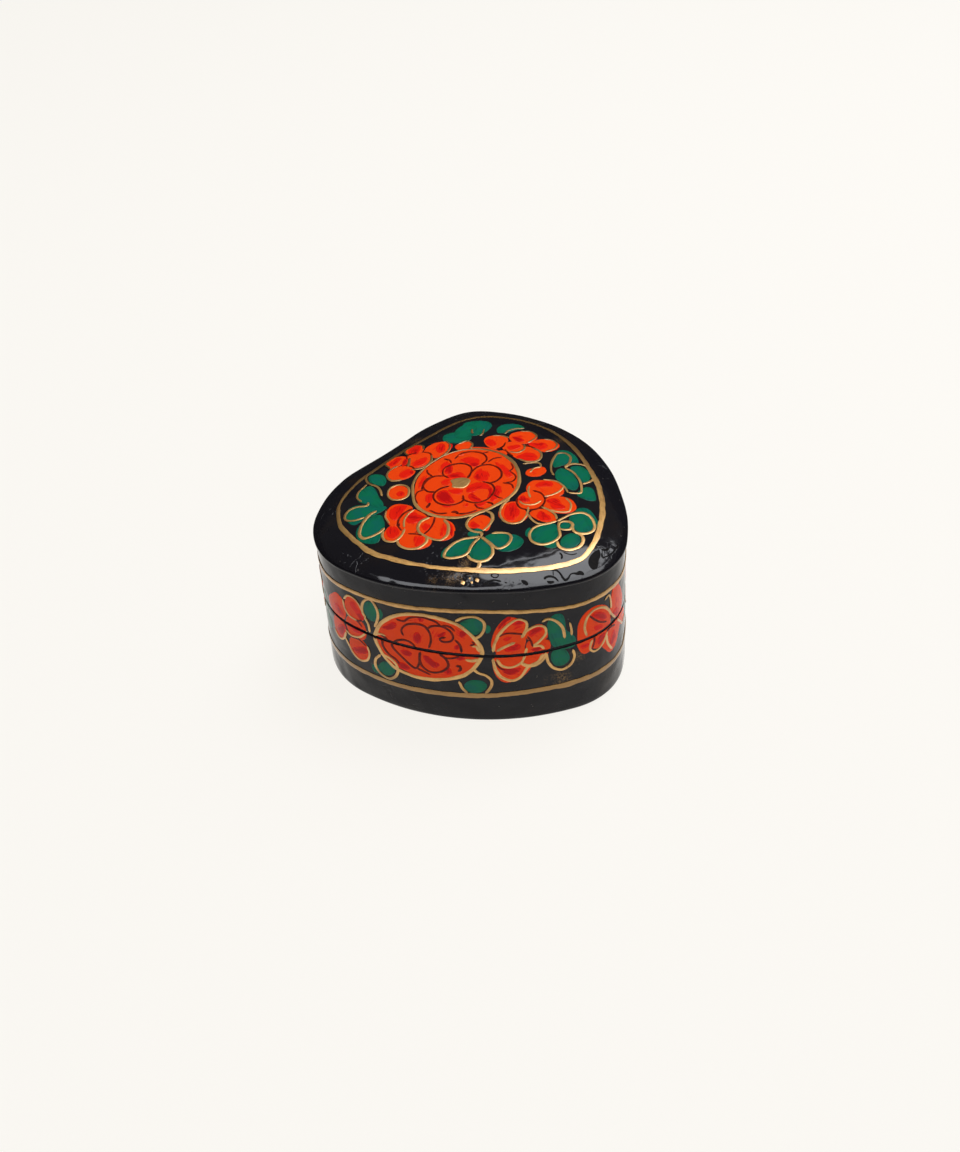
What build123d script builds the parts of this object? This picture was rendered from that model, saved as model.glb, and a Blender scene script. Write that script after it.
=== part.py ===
from build123d import *

import os
from math import sqrt

# Heart-shaped papier mache trinket box with a lift-off lid, in millimetres.
# +Z is up, the box stands on z = 0, the heart's notch faces +Y and its tip faces -Y.
# The body is two moulded shells, each a side strip with a plate glued to it, and a
# collar strip glued inside the base that keeps the lid in place.

# ---- heart outline, measured at the edge of the crown ----
lobe_radius = 24.4          # rounding of each of the two lobes
lobe_spacing = 27.2         # distance between the centres of the lobes
notch_depth = 0.5           # how far the hollow between the lobes dips
tip_reach = 29.6            # from the line of the lobe centres to the centre of the tip arc
tip_radius = 19.4           # rounding of the tip
side_radius = 55.3          # long soft bow of the flanks between lobe and tip

# ---- heights ----
base_height = 21.3          # table to the seam
lid_side_height = 17.2      # seam to the underside of the crown
crown_edge_thickness = 1.2  # upright edge of the crown
crown_rise = 3.4            # edge of the crown to the top of its dome

# ---- thicknesses ----
side_thickness = 2.6        # side strip of the base
floor_thickness = 2.6
crown_thickness = 2.2       # at the middle of the dome
collar_thickness = 1.5

# ---- how the pieces meet ----
crown_overhang = 0.5        # the crown's edge stands out past the sides
collar_stand = 4.5          # the collar stands this far above the seam
lid_clearance = 0.3         # gap between the collar and the side strip of the lid

# ---- shape of the dome ----
dome_inset = 15.2           # the dome climbs over this width and is level inside it
dome_fullness = 2.6         # 1 is a straight slope, more is rounder towards the edge
dome_steps = 6              # outlines that the dome is drawn through

# ---- rounded edges ----
crown_edge_radius = 0.45
foot_radius = 1.0
seam_radius = 0.3
collar_lip_radius = 0.5

# ---- worked out from the above ----
seam_height = base_height
crown_seat = base_height + lid_side_height
crown_edge_height = crown_seat + crown_edge_thickness
outline_side = crown_overhang
outline_base_bore = outline_side + side_thickness
outline_collar_bore = outline_base_bore + collar_thickness
outline_lid_bore = outline_base_bore - lid_clearance
lobe_line = (tip_reach + tip_radius - lobe_radius) / 2  # puts the origin midway along Y


def arc_about(centre, radius, start_direction, end_direction):
    """Arc of a circle between two directions that lie less than half a turn apart."""
    middle = start_direction + end_direction
    middle = middle / middle.length
    return ThreePointArc(
        centre + start_direction * radius,
        centre + middle * radius,
        centre + end_direction * radius,
    )


def heart_outline(inset):
    """Heart of six tangent arcs, drawn this far inside the edge of the crown."""
    half = lobe_spacing / 2
    notch_radius = (half**2 + notch_depth**2) / (2 * notch_depth) - lobe_radius
    notch = Vector(0, lobe_line + sqrt((lobe_radius + notch_radius) ** 2 - half**2))
    lobe = Vector(half, lobe_line)
    tip = Vector(0, lobe_line - tip_reach)

    # centre of the flank's bow: touches the lobe and the tip from outside
    between = tip - lobe
    reach_lobe = side_radius - lobe_radius
    reach_tip = side_radius - tip_radius
    along = (reach_lobe**2 - reach_tip**2 + between.length**2) / (2 * between.length)
    across = sqrt(reach_lobe**2 - along**2)
    direction = between / between.length
    flank = lobe + direction * along + Vector(direction.Y, -direction.X) * across

    to_notch = (notch - lobe) / (notch - lobe).length
    from_flank = (lobe - flank) / (lobe - flank).length
    to_tip = (tip - flank) / (tip - flank).length

    def mirrored(v):
        return Vector(-v.X, v.Y)

    return Wire(
        [
            arc_about(notch, notch_radius + inset, mirrored(to_notch) * -1, to_notch * -1),
            arc_about(lobe, lobe_radius - inset, to_notch, from_flank),
            arc_about(flank, side_radius - inset, from_flank, to_tip),
            arc_about(tip, tip_radius - inset, to_tip, mirrored(to_tip)),
            arc_about(mirrored(flank), side_radius - inset, mirrored(to_tip), mirrored(from_flank)),
            arc_about(mirrored(lobe), lobe_radius - inset, mirrored(from_flank), mirrored(to_notch)),
        ]
    )


def heart_plate(inset, low, high):
    return Pos(0, 0, low) * extrude(Face(heart_outline(inset)), high - low, dir=(0, 0, 1))


def dome(inset, low, top):
    """Solid cushion over the outline drawn at this inset, rising from low to top."""
    outlines = []
    for step in range(dome_steps + 1):
        share = step / dome_steps
        height = low + (top - low) * (1 - (1 - share) ** dome_fullness)
        outline = heart_outline(inset + (dome_inset - inset) * share)
        outlines.append(Face(outline.moved(Pos(0, 0, height))))
    return loft(outlines)


def rounded(solid, height, radius):
    """Rounds the loop of edges that lies at this height."""
    return fillet([e for e in solid.edges() if abs(e.center().Z - height) < 0.01], radius)


def make_base_floor():
    plate = heart_plate(outline_side, 0, floor_thickness)
    return rounded(plate, 0, foot_radius)


def make_base_side():
    body = rounded(heart_plate(outline_side, floor_thickness, seam_height), seam_height, seam_radius)
    return body - heart_plate(outline_base_bore, floor_thickness, seam_height)


def make_base_collar():
    top = seam_height + collar_stand
    body = rounded(heart_plate(outline_base_bore, floor_thickness, top), top, collar_lip_radius)
    return body - heart_plate(outline_collar_bore, floor_thickness, top)


def make_lid_side():
    body = rounded(heart_plate(outline_side, seam_height, crown_seat), seam_height, seam_radius)
    return body - heart_plate(outline_lid_bore, seam_height, crown_seat)


def make_lid_crown():
    top = crown_edge_height + crown_rise
    plate = heart_plate(0, crown_seat, crown_edge_height) + dome(0, crown_edge_height, top)
    plate = rounded(plate, crown_edge_height, crown_edge_radius)
    plate = rounded(plate, crown_seat, crown_edge_radius)
    return plate - dome(outline_lid_bore, crown_seat, top - crown_thickness)


pieces = {
    "base_floor": make_base_floor,
    "base_side": make_base_side,
    "base_collar": make_base_collar,
    "lid_side": make_lid_side,
    "lid_crown": make_lid_crown,
}

os.makedirs("parts", exist_ok=True)
for name, make in pieces.items():
    piece = make()
    piece.label = name
    export_step(piece, f"parts/{name}.step")
    print(name, "made,", round(piece.volume), "mm3")
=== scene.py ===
import math
import bmesh
import bpy
from mathutils import Matrix, Vector, noise


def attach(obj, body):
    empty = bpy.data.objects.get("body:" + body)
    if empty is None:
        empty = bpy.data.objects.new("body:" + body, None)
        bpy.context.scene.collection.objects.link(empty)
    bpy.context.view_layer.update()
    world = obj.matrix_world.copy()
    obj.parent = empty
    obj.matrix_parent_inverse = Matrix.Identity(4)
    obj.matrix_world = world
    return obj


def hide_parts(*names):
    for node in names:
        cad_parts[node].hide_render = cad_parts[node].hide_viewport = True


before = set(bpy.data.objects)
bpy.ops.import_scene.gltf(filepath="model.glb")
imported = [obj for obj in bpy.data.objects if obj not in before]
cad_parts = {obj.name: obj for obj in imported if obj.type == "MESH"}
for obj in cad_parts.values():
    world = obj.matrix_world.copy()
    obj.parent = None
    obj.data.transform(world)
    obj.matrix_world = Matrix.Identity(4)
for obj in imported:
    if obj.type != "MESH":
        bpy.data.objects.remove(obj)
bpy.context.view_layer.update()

mm = 0.001
print("frame loaded with", len(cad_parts), "pieces")

# camera, in millimetres and degrees
view = {
    "azimuth": 46.2,
    "elevation": 38.55,
    "roll": -3.67,
    "distance": 347.4,
    "aim": (0.0, 0.0, 20.0),
    "slideRight": -3.09,
    "slideUp": -1.11,
    "lens": 43.75,
}


def placeCamera():
    azimuth = math.radians(view["azimuth"])
    elevation = math.radians(view["elevation"])
    roll = math.radians(view["roll"])
    back = Vector((
        -math.sin(azimuth) * math.cos(elevation),
        -math.cos(azimuth) * math.cos(elevation),
        math.sin(elevation),
    ))
    level = Vector((math.cos(azimuth), -math.sin(azimuth), 0))
    upright = back.cross(level)
    right = math.cos(roll) * level + math.sin(roll) * upright
    up = -math.sin(roll) * level + math.cos(roll) * upright
    spot = Vector(view["aim"]) + view["slideRight"] * right + view["slideUp"] * up
    spot = (spot + view["distance"] * back) * mm
    bpy.ops.object.camera_add()
    camera = bpy.context.object
    camera.name = "camera"
    camera.matrix_world = Matrix((
        (right.x, up.x, back.x, spot.x),
        (right.y, up.y, back.y, spot.y),
        (right.z, up.z, back.z, spot.z),
        (0, 0, 0, 1),
    ))
    camera.data.lens = view["lens"]
    camera.data.sensor_width = 36
    camera.data.clip_start = 0.01
    camera.data.clip_end = 20
    bpy.context.scene.camera = camera


placeCamera()
print("camera placed")


# shader maths
class Signal:
    # a socket that can be added, multiplied and so on
    def __init__(self, tree, socket):
        self.tree = tree
        self.socket = socket

    def node(self, kind, settings=None, sockets=None, output=0):
        # settings are made first, then values or links go into the sockets
        made = self.tree.nodes.new(kind)
        for key, value in (settings or {}).items():
            setattr(made, key, value)
        for key, value in (sockets or {}).items():
            if isinstance(value, Signal):
                self.tree.links.new(value.socket, made.inputs[key])
            else:
                made.inputs[key].default_value = value
        return Signal(self.tree, made.outputs[output])

    def maths(self, operation, first, second=0.0):
        return self.node("ShaderNodeMath", {"operation": operation}, {0: first, 1: second})

    def __add__(self, other):
        return self.maths("ADD", self, other)

    __radd__ = __add__

    def __sub__(self, other):
        return self.maths("SUBTRACT", self, other)

    def __rsub__(self, other):
        return self.maths("SUBTRACT", other, self)

    def __mul__(self, other):
        return self.maths("MULTIPLY", self, other)

    __rmul__ = __mul__

    def over(self, low, high):
        # 0 below low, 1 above high, smooth between
        return self.node(
            "ShaderNodeMapRange",
            {"interpolation_type": "SMOOTHSTEP"},
            {"Value": self, "From Min": low, "From Max": high},
        )

    def mixed(self, first, second):
        # first colour where this is 0, second where it is 1
        first = first if isinstance(first, Signal) else (*first, 1)
        second = second if isinstance(second, Signal) else (*second, 1)
        return self.node(
            "ShaderNodeMix", {"data_type": "RGBA"}, {0: self, 6: first, 7: second}, output=2
        )

    def noise(self, scale, detail=2.0, roughness=0.5, distortion=0.0):
        return self.node("ShaderNodeTexNoise", {}, {
            "Vector": self,
            "Scale": scale,
            "Detail": detail,
            "Roughness": roughness,
            "Distortion": distortion,
        })

    def stretched(self, scale, turn=(0, 0, 0)):
        return self.node(
            "ShaderNodeMapping", {}, {"Vector": self, "Scale": scale, "Rotation": turn}
        )


def newFinish(name, plain):
    # a material with one Principled shader, its plain numbers set on the sockets
    finish = bpy.data.materials.new(name)
    finish.use_nodes = True
    tree = finish.node_tree
    shader = tree.nodes["Principled BSDF"]
    for key, value in plain.items():
        shader.inputs[key].default_value = value
    start = Signal(tree, None)
    spot = start.node("ShaderNodeTexCoord", {}, {}, output=3)
    return finish, shader, spot


def feed(shader, socket, signal):
    signal.tree.links.new(signal.socket, shader.inputs[socket])


def bump(height, strength, distance, share=None, under=None):
    # share fades the height in and out, under is a bump that this one lies on
    full = height if share is None else height * share
    sockets = {"Height": full, "Strength": strength, "Distance": distance}
    if under is not None:
        sockets["Normal"] = under
    return height.node("ShaderNodeBump", {}, sockets)


def attribute(spot, name, output):
    return spot.node(
        "ShaderNodeAttribute", {"attribute_type": "GEOMETRY", "attribute_name": name}, {}, output
    )


def brushed(spot, stretch, detail=3):
    # streaks along the strokes of the brush
    return attribute(spot, "brush", 1).stretched(stretch).noise(1.0, detail, 0.6)


def layPaint(shader, colour, streaks, relief, dullness, depth):
    # flat colour over low brush marks, duller in the streaks
    feed(shader, "Base Color", colour)
    feed(shader, "Roughness", dullness + streaks * 0.16)
    feed(shader, "Normal", bump(relief, 0.3, depth))


# black lacquer over paper, its colours linear
lacquer = {
    "black": (0.0085, 0.0078, 0.0105),
    "brownBlack": (0.016, 0.011, 0.009),
    "dust": (0.07, 0.06, 0.05),
    # brown laid on the black: stray bronze powder, and a painted brown reflection
    "dustAndPaintedReflection": (0.21, 0.12, 0.045),
    "sideShine": 0.2,
    "crownShine": 0.38,
    # how finely each mark repeats, per metre
    "cloudScale": 95,
    "grainScale": 2600,
    "speckScale": 900,
    "dustAndReflectionScale": 2400,
    "dustAndReflectionPatchScale": 420,
    "scuffScale": 1500,
    "waveScale": 140,
    "rippleScale": 330,
    "pitScale": 560,
    "pitPatchScale": 75,
    "foldScale": 340,
    # depths in metres
    "wave": 0.00045,
    "pit": 0.00003,
    "fold": 0.00022,
}


def makeLacquer(name, shine):
    finish, shader, spot = newFinish(name, {"Specular IOR Level": shine})
    cloud = spot.noise(lacquer["cloudScale"], 3, 0.6)
    grain = spot.noise(lacquer["grainScale"], 2, 0.6)
    colour = cloud.over(0.5, 0.75).mixed(lacquer["black"], lacquer["brownBlack"])
    specks = spot.noise(lacquer["speckScale"], 1, 0.4).over(0.75, 0.79)
    colour = (specks * 0.4).mixed(colour, lacquer["dust"])
    # patches of brown on the black: stray bronze powder on the crown, and a painted brown reflection on
    # crown and sides
    dustAndPaintedReflection = attribute(spot, "dustAndPaintedReflection", 2) * spot.noise(lacquer["dustAndReflectionScale"], 3, 0.75).over(0.42, 0.62)
    dustAndPaintedReflection = dustAndPaintedReflection * spot.noise(lacquer["dustAndReflectionPatchScale"], 2).over(0.3, 0.6)
    colour = dustAndPaintedReflection.mixed(colour, lacquer["dustAndPaintedReflection"])
    scuffs = spot.stretched((1.0, 1.0, 0.12), (0.5, 0.2, 0.0))
    scuffs = scuffs.noise(lacquer["scuffScale"], 2, 0.6).over(0.66, 0.8)
    feed(shader, "Base Color", colour)
    roughness = 0.06 + cloud * 0.07 + grain * 0.03
    feed(shader, "Roughness", roughness + specks * 0.3 + dustAndPaintedReflection * 0.15 + scuffs * 0.06)
    # long waves of the paper, and folds and pits where the varnish ran thick
    waves = spot.noise(lacquer["waveScale"], 1, 0.4)
    waves = waves + spot.noise(lacquer["rippleScale"], 1, 0.4) * 0.22
    pits = spot.noise(lacquer["pitPatchScale"], 1).over(0.55, 0.66)
    pits = pits * spot.noise(lacquer["pitScale"], 1, 0.5, 1.6).over(0.60, 0.68)
    folds = spot.noise(lacquer["foldScale"], 0.5, 0.4, 1.4)
    folds = folds.maths("ABSOLUTE", folds - 0.5).over(0.012, 0.062)
    level = bump(pits * -1.0 + grain * 0.02, 1.0, lacquer["pit"])
    level = bump(folds, 1.0, lacquer["fold"], attribute(spot, "wrinkle", 2), level)
    feed(shader, "Normal", bump(waves, 1.0, lacquer["wave"], None, level))
    return finish


# painted petals: orange-red with crimson laid in wet
petalPaint = {
    "orange": (0.88, 0.058, 0.003),
    "red": (0.80, 0.012, 0.003),
    "crimson": (0.50, 0.004, 0.004),
    "shine": 0.12,
}


def makePetalPaint():
    finish, shader, spot = newFinish("petalPaint", {"Specular IOR Level": petalPaint["shine"]})
    tone = attribute(spot, "tone", 2)
    streaks = brushed(spot, (0.35, 2.6, 1.0))
    blotch = spot.noise(420, 3, 0.6)
    amount = tone + (streaks - 0.5) * 1.1 + (blotch - 0.5) * 0.5
    colour = amount.over(0.25, 0.5).mixed(petalPaint["orange"], petalPaint["red"])
    colour = amount.over(0.68, 0.92).mixed(colour, petalPaint["crimson"])
    layPaint(shader, colour, streaks, streaks + blotch * 0.5, 0.12, 0.00006)
    return finish


# painted leaves
leafPaint = {
    "green": (0.003, 0.150, 0.072),
    "blueGreen": (0.004, 0.130, 0.090),
    "dark": (0.002, 0.075, 0.042),
    "shine": 0.14,
}


def makeLeafPaint():
    finish, shader, spot = newFinish("leafPaint", {"Specular IOR Level": leafPaint["shine"]})
    tone = attribute(spot, "tone", 2)
    streaks = brushed(spot, (0.3, 2.2, 1.0))
    blotch = spot.noise(380, 3, 0.6)
    colour = blotch.over(0.4, 0.65).mixed(leafPaint["green"], leafPaint["blueGreen"])
    thin = (1.0 - tone) * 0.4 + (streaks - 0.5) * 1.1
    colour = thin.over(0.2, 0.75).mixed(colour, leafPaint["dark"])
    layPaint(shader, colour, streaks, streaks + blotch * 0.5, 0.12, 0.00006)
    return finish


# thin dark brush lines on the petals
veinPaint = {"brown": (0.050, 0.006, 0.003), "rust": (0.20, 0.013, 0.004), "shine": 0.14}


def makeVeinPaint():
    finish, shader, spot = newFinish("veinPaint", {"Specular IOR Level": veinPaint["shine"]})
    streaks = brushed(spot, (0.8, 1.2, 1.0), 2)
    colour = streaks.over(0.35, 0.65).mixed(veinPaint["brown"], veinPaint["rust"])
    layPaint(shader, colour, streaks, streaks, 0.14, 0.00005)
    return finish


# gold paint, a bronze powder in varnish
goldPaint = {
    "gold": (0.68, 0.39, 0.12),
    "bronze": (0.40, 0.19, 0.05),
    # colour of the painted shade on the gold, and how much of it is laid on
    "paintedShade": (0.23, 0.120, 0.030),
    "paintedShadeShare": 0.75,
    "crownCoat": 1.65,
    "sideCoat": 1.38,
    # painted shade: the gold is darkened towards one side, the back of the crown and the foot of the
    # sides, where it mirrors less light; its direction, and where that starts and is complete
    "crownPaintedShade": ((0.72, 0.69, 0), 0.001, 0.020),
    "sidePaintedShade": ((0, 0, -1), -0.0125, -0.0095),
}


def makeGoldPaint(name, coat, paintedShade):
    finish, shader, spot = newFinish(name, {
        "Specular IOR Level": 0.3,
        "Coat Weight": 1.0,
        "Coat Roughness": 0.24,
        "Coat IOR": coat,
    })
    streaks = brushed(spot, (0.5, 1.6, 1.0))
    powder = spot.noise(5200, 2, 0.7)
    worn = spot.noise(300, 3, 0.6)
    mixture = (streaks - 0.5) * 0.9 + (powder - 0.5) * 0.8 + (worn - 0.5) * 0.9 + 0.5
    # painted shade: the gold is darkened towards the chosen side, where it mirrors less light
    way, low, high = paintedShade
    along = spot.node(
        "ShaderNodeVectorMath", {"operation": "DOT_PRODUCT"}, {0: spot, 1: way}, output=1
    )
    colour = mixture.over(0.35, 0.9).mixed(goldPaint["gold"], goldPaint["bronze"])
    share = along.over(low, high) * goldPaint["paintedShadeShare"]
    feed(shader, "Base Color", share.mixed(colour, goldPaint["paintedShade"]))
    feed(shader, "Metallic", 0.92 - worn.over(0.55, 0.75) * 0.25)
    feed(shader, "Roughness", 0.34 + powder * 0.14 + worn * 0.08)
    feed(shader, "Normal", bump(powder * 0.4 + streaks * 1.5, 0.4, 0.00004))
    return finish


# plain black inside, and the pasteboard collar painted to match
insideBlack = {"black": (0.010, 0.009, 0.009), "fibre": (0.030, 0.024, 0.020)}


def makeInside(name, grainScale, gloss, sheen):
    finish, shader, spot = newFinish(name, {
        "Specular IOR Level": gloss,
        "Coat Weight": sheen,
        "Coat Roughness": 0.25,
    })
    fibres = spot.stretched((1.0, 1.0, 0.25)).noise(grainScale, 4, 0.65, 0.6)
    wear = spot.noise(180, 3, 0.6)
    amount = fibres.over(0.5, 0.8) * 0.6 + wear.over(0.6, 0.8) * 0.4
    feed(shader, "Base Color", amount.mixed(insideBlack["black"], insideBlack["fibre"]))
    feed(shader, "Roughness", 0.42 + fibres * 0.25)
    feed(shader, "Normal", bump(fibres + wear * 0.6, 0.35, 0.0002))
    return finish


finishes = {
    "lacquer": makeLacquer("sideLacquer", lacquer["sideShine"]),
    "crownLacquer": makeLacquer("crownLacquer", lacquer["crownShine"]),
    "petal": makePetalPaint(),
    "leaf": makeLeafPaint(),
    "vein": makeVeinPaint(),
    "gold": makeGoldPaint("crownGoldPaint", goldPaint["crownCoat"], goldPaint["crownPaintedShade"]),
    "sideGold": makeGoldPaint("sideGoldPaint", goldPaint["sideCoat"], goldPaint["sidePaintedShade"]),
    "inside": makeInside("insideBlack", 900, 0.35, 0.3),
    "collar": makeInside("collarPasteboard", 1500, 0.35, 0.15),
    "pitted": makeInside("pittedVarnish", 1800, 0.03, 0.0),
}
print("finishes mixed")

# the heart, drawn at the edge of the crown, in millimetres
heart = {
    "lobeRadius": 24.4,
    "lobeSpacing": 27.2,
    "notchDepth": 0.5,
    "tipReach": 29.6,
    "tipRadius": 19.4,
    "sideRadius": 55.3,
    "crownOverhang": 0.5,
    "pointsAround": 300,
}

# the hand-made unevenness: place along the side from the tip, then how far the edge of the
# crown stands out, how far it is raised, and how far the seam is raised
uneven = [
    (-108, 0.3, 0.0, 0.1), (-101, -0.8, 0.1, 0.0), (-92, -1.2, 0.0, 0.2), (-84, -0.6, -0.1, 0.5),
    (-74, 0.1, -0.1, 0.6), (-64, 0.2, 0.0, 0.4), (-54, 0.1, 0.25, 0.2), (-44, -0.1, 0.75, 0.0),
    (-33, -0.2, 1.1, -0.35), (-22, -0.15, 0.8, -0.6), (-12, -0.1, 0.4, -0.2), (0, 0.1, 0.1, 0.35),
    (9, -0.15, 0.0, 0.4), (20, -0.55, 0.1, 0.1), (30, -0.8, 0.1, -0.2), (41, -0.2, 0.0, -0.1),
    (52, 0.3, 0.0, 0.2), (61, -0.1, 0.1, 0.3), (70, -0.7, 0.0, 0.0), (79, -0.2, 0.0, -0.3),
    (88, 0.9, 0.1, -0.2), (98, -0.1, 0.0, 0.0), (110, 0.1, -0.1, 0.2),
]

heights = {
    "floor": 2.6,
    "seam": 21.3,
    "collarTop": 25.8,
    "crownSeat": 38.5,
    "crownEdge": 39.7,
    "crownRise": 3.4,
    "domeInset": 15.2,
    "domeFullness": 2.6,
    "hollowRise": 2.4,
    # the uneven outline fades from here to the middle of the crown, and towards the foot
    "fadeFrom": 5,
    "fadeOver": 10.2,
    "evenInset": 18,
    "footShare": 0.3,
}

# the slight waves of paper and paint: depth and fineness of each, and the height that those of
# the crown are taken at
paperWaves = {"sizes": [(0.05, 0.12), (0.008, 0.35)], "crownLevel": 40}


def heartArcs():
    # right half from the tip to the notch: centre, radius, 1 or -1 if hollow, first and last
    # direction
    half = heart["lobeSpacing"] / 2
    depth = heart["notchDepth"]
    lobeRadius, tipRadius, sideRadius = heart["lobeRadius"], heart["tipRadius"], heart["sideRadius"]
    notchRadius = (half**2 + depth**2) / (2 * depth) - lobeRadius
    lobeLine = (heart["tipReach"] + tipRadius - lobeRadius) / 2
    notch = Vector((0, lobeLine + math.sqrt((lobeRadius + notchRadius) ** 2 - half**2)))
    lobe = Vector((half, lobeLine))
    tip = Vector((0, lobeLine - heart["tipReach"]))
    between = tip - lobe
    toLobe, toTip = sideRadius - lobeRadius, sideRadius - tipRadius
    along = (toLobe**2 - toTip**2 + between.length**2) / (2 * between.length)
    across = math.sqrt(toLobe**2 - along**2)
    way = between.normalized()
    side = lobe + way * along + Vector((way.y, -way.x)) * across

    def direction(v):
        return math.atan2(v.y, v.x)

    first, second = direction(tip - side), direction(lobe - side)
    third = direction(notch - lobe)
    return [
        (tip, tipRadius, 1, -math.pi / 2, first),
        (side, sideRadius, 1, first, second),
        (lobe, lobeRadius, 1, second, third),
        (notch, notchRadius, -1, third, math.pi / 2),
    ]


arcs = heartArcs()
overhang = heart["crownOverhang"]


def arcLength(radius, turn, first, last):
    return (radius - overhang * turn) * abs(last - first)


halfWay = sum(arcLength(*arc[1:]) for arc in arcs)


def onceRound(run):
    return (run + halfWay) % (2 * halfWay) - halfWay


def faded(value):
    # held between 0 and 1
    return min(max(value, 0), 1)


def heartAt(run, inset):
    # point on the outline drawn this far inside the crown's edge, and its outward direction
    run = onceRound(run)
    rest = abs(run)
    for centre, radius, turn, first, last in arcs:
        length = arcLength(radius, turn, first, last)
        if rest <= length or turn < 0:
            break
        rest -= length
    angle = first + (last - first) * min(rest / length, 1)
    out = Vector((math.cos(angle), math.sin(angle)))
    point = centre + out * (radius - inset) if turn > 0 else centre - out * (radius + inset)
    if run < 0:
        point.x, out.x = -point.x, -out.x
    return point, out


def heartNear(x, y):
    # the place along the side nearest to a point, and how far inside the crown's edge it is
    spot = Vector((abs(x), y))
    best = None
    done = 0
    for centre, radius, turn, first, last in arcs:
        length = arcLength(radius, turn, first, last)
        arm = (spot - centre) * turn
        angle = math.atan2(arm.y, arm.x)
        low, high = min(first, last), max(first, last)
        if low - 1e-6 <= angle <= high + 1e-6:
            inset = (radius - arm.length) * turn
            if best is None or inset < best[1]:
                best = (done + length * (angle - first) / (last - first), inset)
        done += length
    if best is None:
        return 0.0, 30.0
    return (best[0] if x >= 0 else -best[0]), best[1]


def unevenAt(run):
    # smooth curve through the knots above, all the way round
    run = onceRound(run)
    count = len(uneven)
    turn = 2 * halfWay
    places = [row[0] for row in uneven]
    after = next((i for i, place in enumerate(places) if place > run), 0)
    rows = [uneven[(after + step) % count] for step in (-2, -1, 0, 1)]
    spots = [row[0] for row in rows]
    for i in (1, 2, 3):
        while spots[i] < spots[i - 1]:
            spots[i] += turn
    while run < spots[1] - 1e-9:
        run += turn
    share = (run - spots[1]) / (spots[2] - spots[1])
    values = []
    for column in (1, 2, 3):
        a, b, c, d = (row[column] for row in rows)
        gap = spots[2] - spots[1]
        slopeB = (c - a) / (spots[2] - spots[0]) * gap
        slopeC = (d - b) / (spots[3] - spots[1]) * gap
        t, tt, ttt = share, share**2, share**3
        values.append(
            b * (2 * ttt - 3 * tt + 1) + slopeB * (ttt - 2 * tt + t)
            + c * (3 * tt - 2 * ttt) + slopeC * (ttt - tt)
        )
    return values


def lump(x, y, z=paperWaves["crownLevel"]):
    place = Vector((x, y, z))
    return sum(depth * noise.noise(place * scale) for depth, scale in paperWaves["sizes"])


def outShare(inset, z):
    # how much of the unevenness of the outline shows at this inset and height
    fade = 1 - faded((inset - heights["fadeFrom"]) / heights["fadeOver"])
    foot = heights["footShare"]
    return fade * fade * (3 - 2 * fade) * (foot + (1 - foot) * min(z / heights["crownSeat"], 1))


def raised(run, z):
    # waves of the seam and the crown's seat
    _, crownUp, seamUp = unevenAt(run)
    if z <= heights["floor"]:
        return z
    if z <= heights["seam"]:
        share = (z - heights["floor"]) / (heights["seam"] - heights["floor"])
        return z + seamUp * share
    share = min((z - heights["seam"]) / (heights["crownSeat"] - heights["seam"]), 1)
    return z + seamUp * (1 - share) + crownUp * share


def wallPoint(run, inset, z, wavy=True, lumpy=False):
    point, out = heartAt(run, inset)
    push = unevenAt(run)[0] * outShare(inset, z)
    height = raised(run, z) if wavy else z
    if lumpy:
        push += lump(point.x, point.y, height)
    point = point + out * push
    return Vector((point.x, point.y, height)) * mm


def domeHeight(inset, rise, start=0):
    share = faded((inset - start) / (heights["domeInset"] - start))
    return rise * (1 - (1 - share) ** heights["domeFullness"])


def crownHeight(x, y):
    # top of the crown over a point, in millimetres
    run, inset = heartNear(x, y)
    if inset > heights["evenInset"]:
        out = crownUp = 0
    else:
        out, crownUp, _ = unevenAt(run)
    true = inset + out * outShare(inset, heights["crownEdge"])
    fade = 1 - faded(true / heights["domeInset"])
    height = heights["crownEdge"] + domeHeight(true, heights["crownRise"])
    return height + crownUp * fade**2 + lump(x, y)


def onCrown(x, y, lift):
    # a point this far above the painted face of the crown
    step = 0.15
    height = crownHeight(x, y)
    slopeX = (crownHeight(x + step, y) - crownHeight(x - step, y)) / (2 * step)
    slopeY = (crownHeight(x, y + step) - crownHeight(x, y - step)) / (2 * step)
    normal = Vector((-slopeX, -slopeY, 1)).normalized()
    return (Vector((x, y, height)) + normal * lift) * mm


def onSide(run, z, lift):
    # a point this far outside the painted side
    point, out = heartAt(run, overhang)
    push = unevenAt(run)[0] * outShare(overhang, z) + lump(point.x, point.y, z) + lift
    point = point + out * push
    return Vector((point.x, point.y, z)) * mm


def runs():
    count = heart["pointsAround"]
    return [(-halfWay + 2 * halfWay * i / count) for i in range(count)]


def selectOnly(piece):
    bpy.ops.object.select_all(action="DESELECT")
    piece.select_set(True)
    bpy.context.view_layer.objects.active = piece


def startPiece(name):
    bpy.ops.object.select_all(action="DESELECT")
    bpy.ops.mesh.primitive_circle_add(vertices=heart["pointsAround"], radius=0.03)
    piece = bpy.context.object
    piece.name = name
    piece.data.name = name
    bpy.ops.object.mode_set(mode="EDIT")
    bpy.ops.mesh.select_all(action="SELECT")
    return piece


def shapeSelected(piece, ring):
    # moves the selected hoop onto the next outline
    mesh = bmesh.from_edit_mesh(piece.data)
    place = mesh.verts.layers.int["place"]
    for vertex in mesh.verts:
        if vertex.select:
            vertex.co = ring[vertex[place]]
    bmesh.update_edit_mesh(piece.data)


def numberHoop(piece):
    mesh = bmesh.from_edit_mesh(piece.data)
    place = mesh.verts.layers.int.new("place")
    for index, vertex in enumerate(mesh.verts):
        vertex[place] = index
    bmesh.update_edit_mesh(piece.data)


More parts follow.
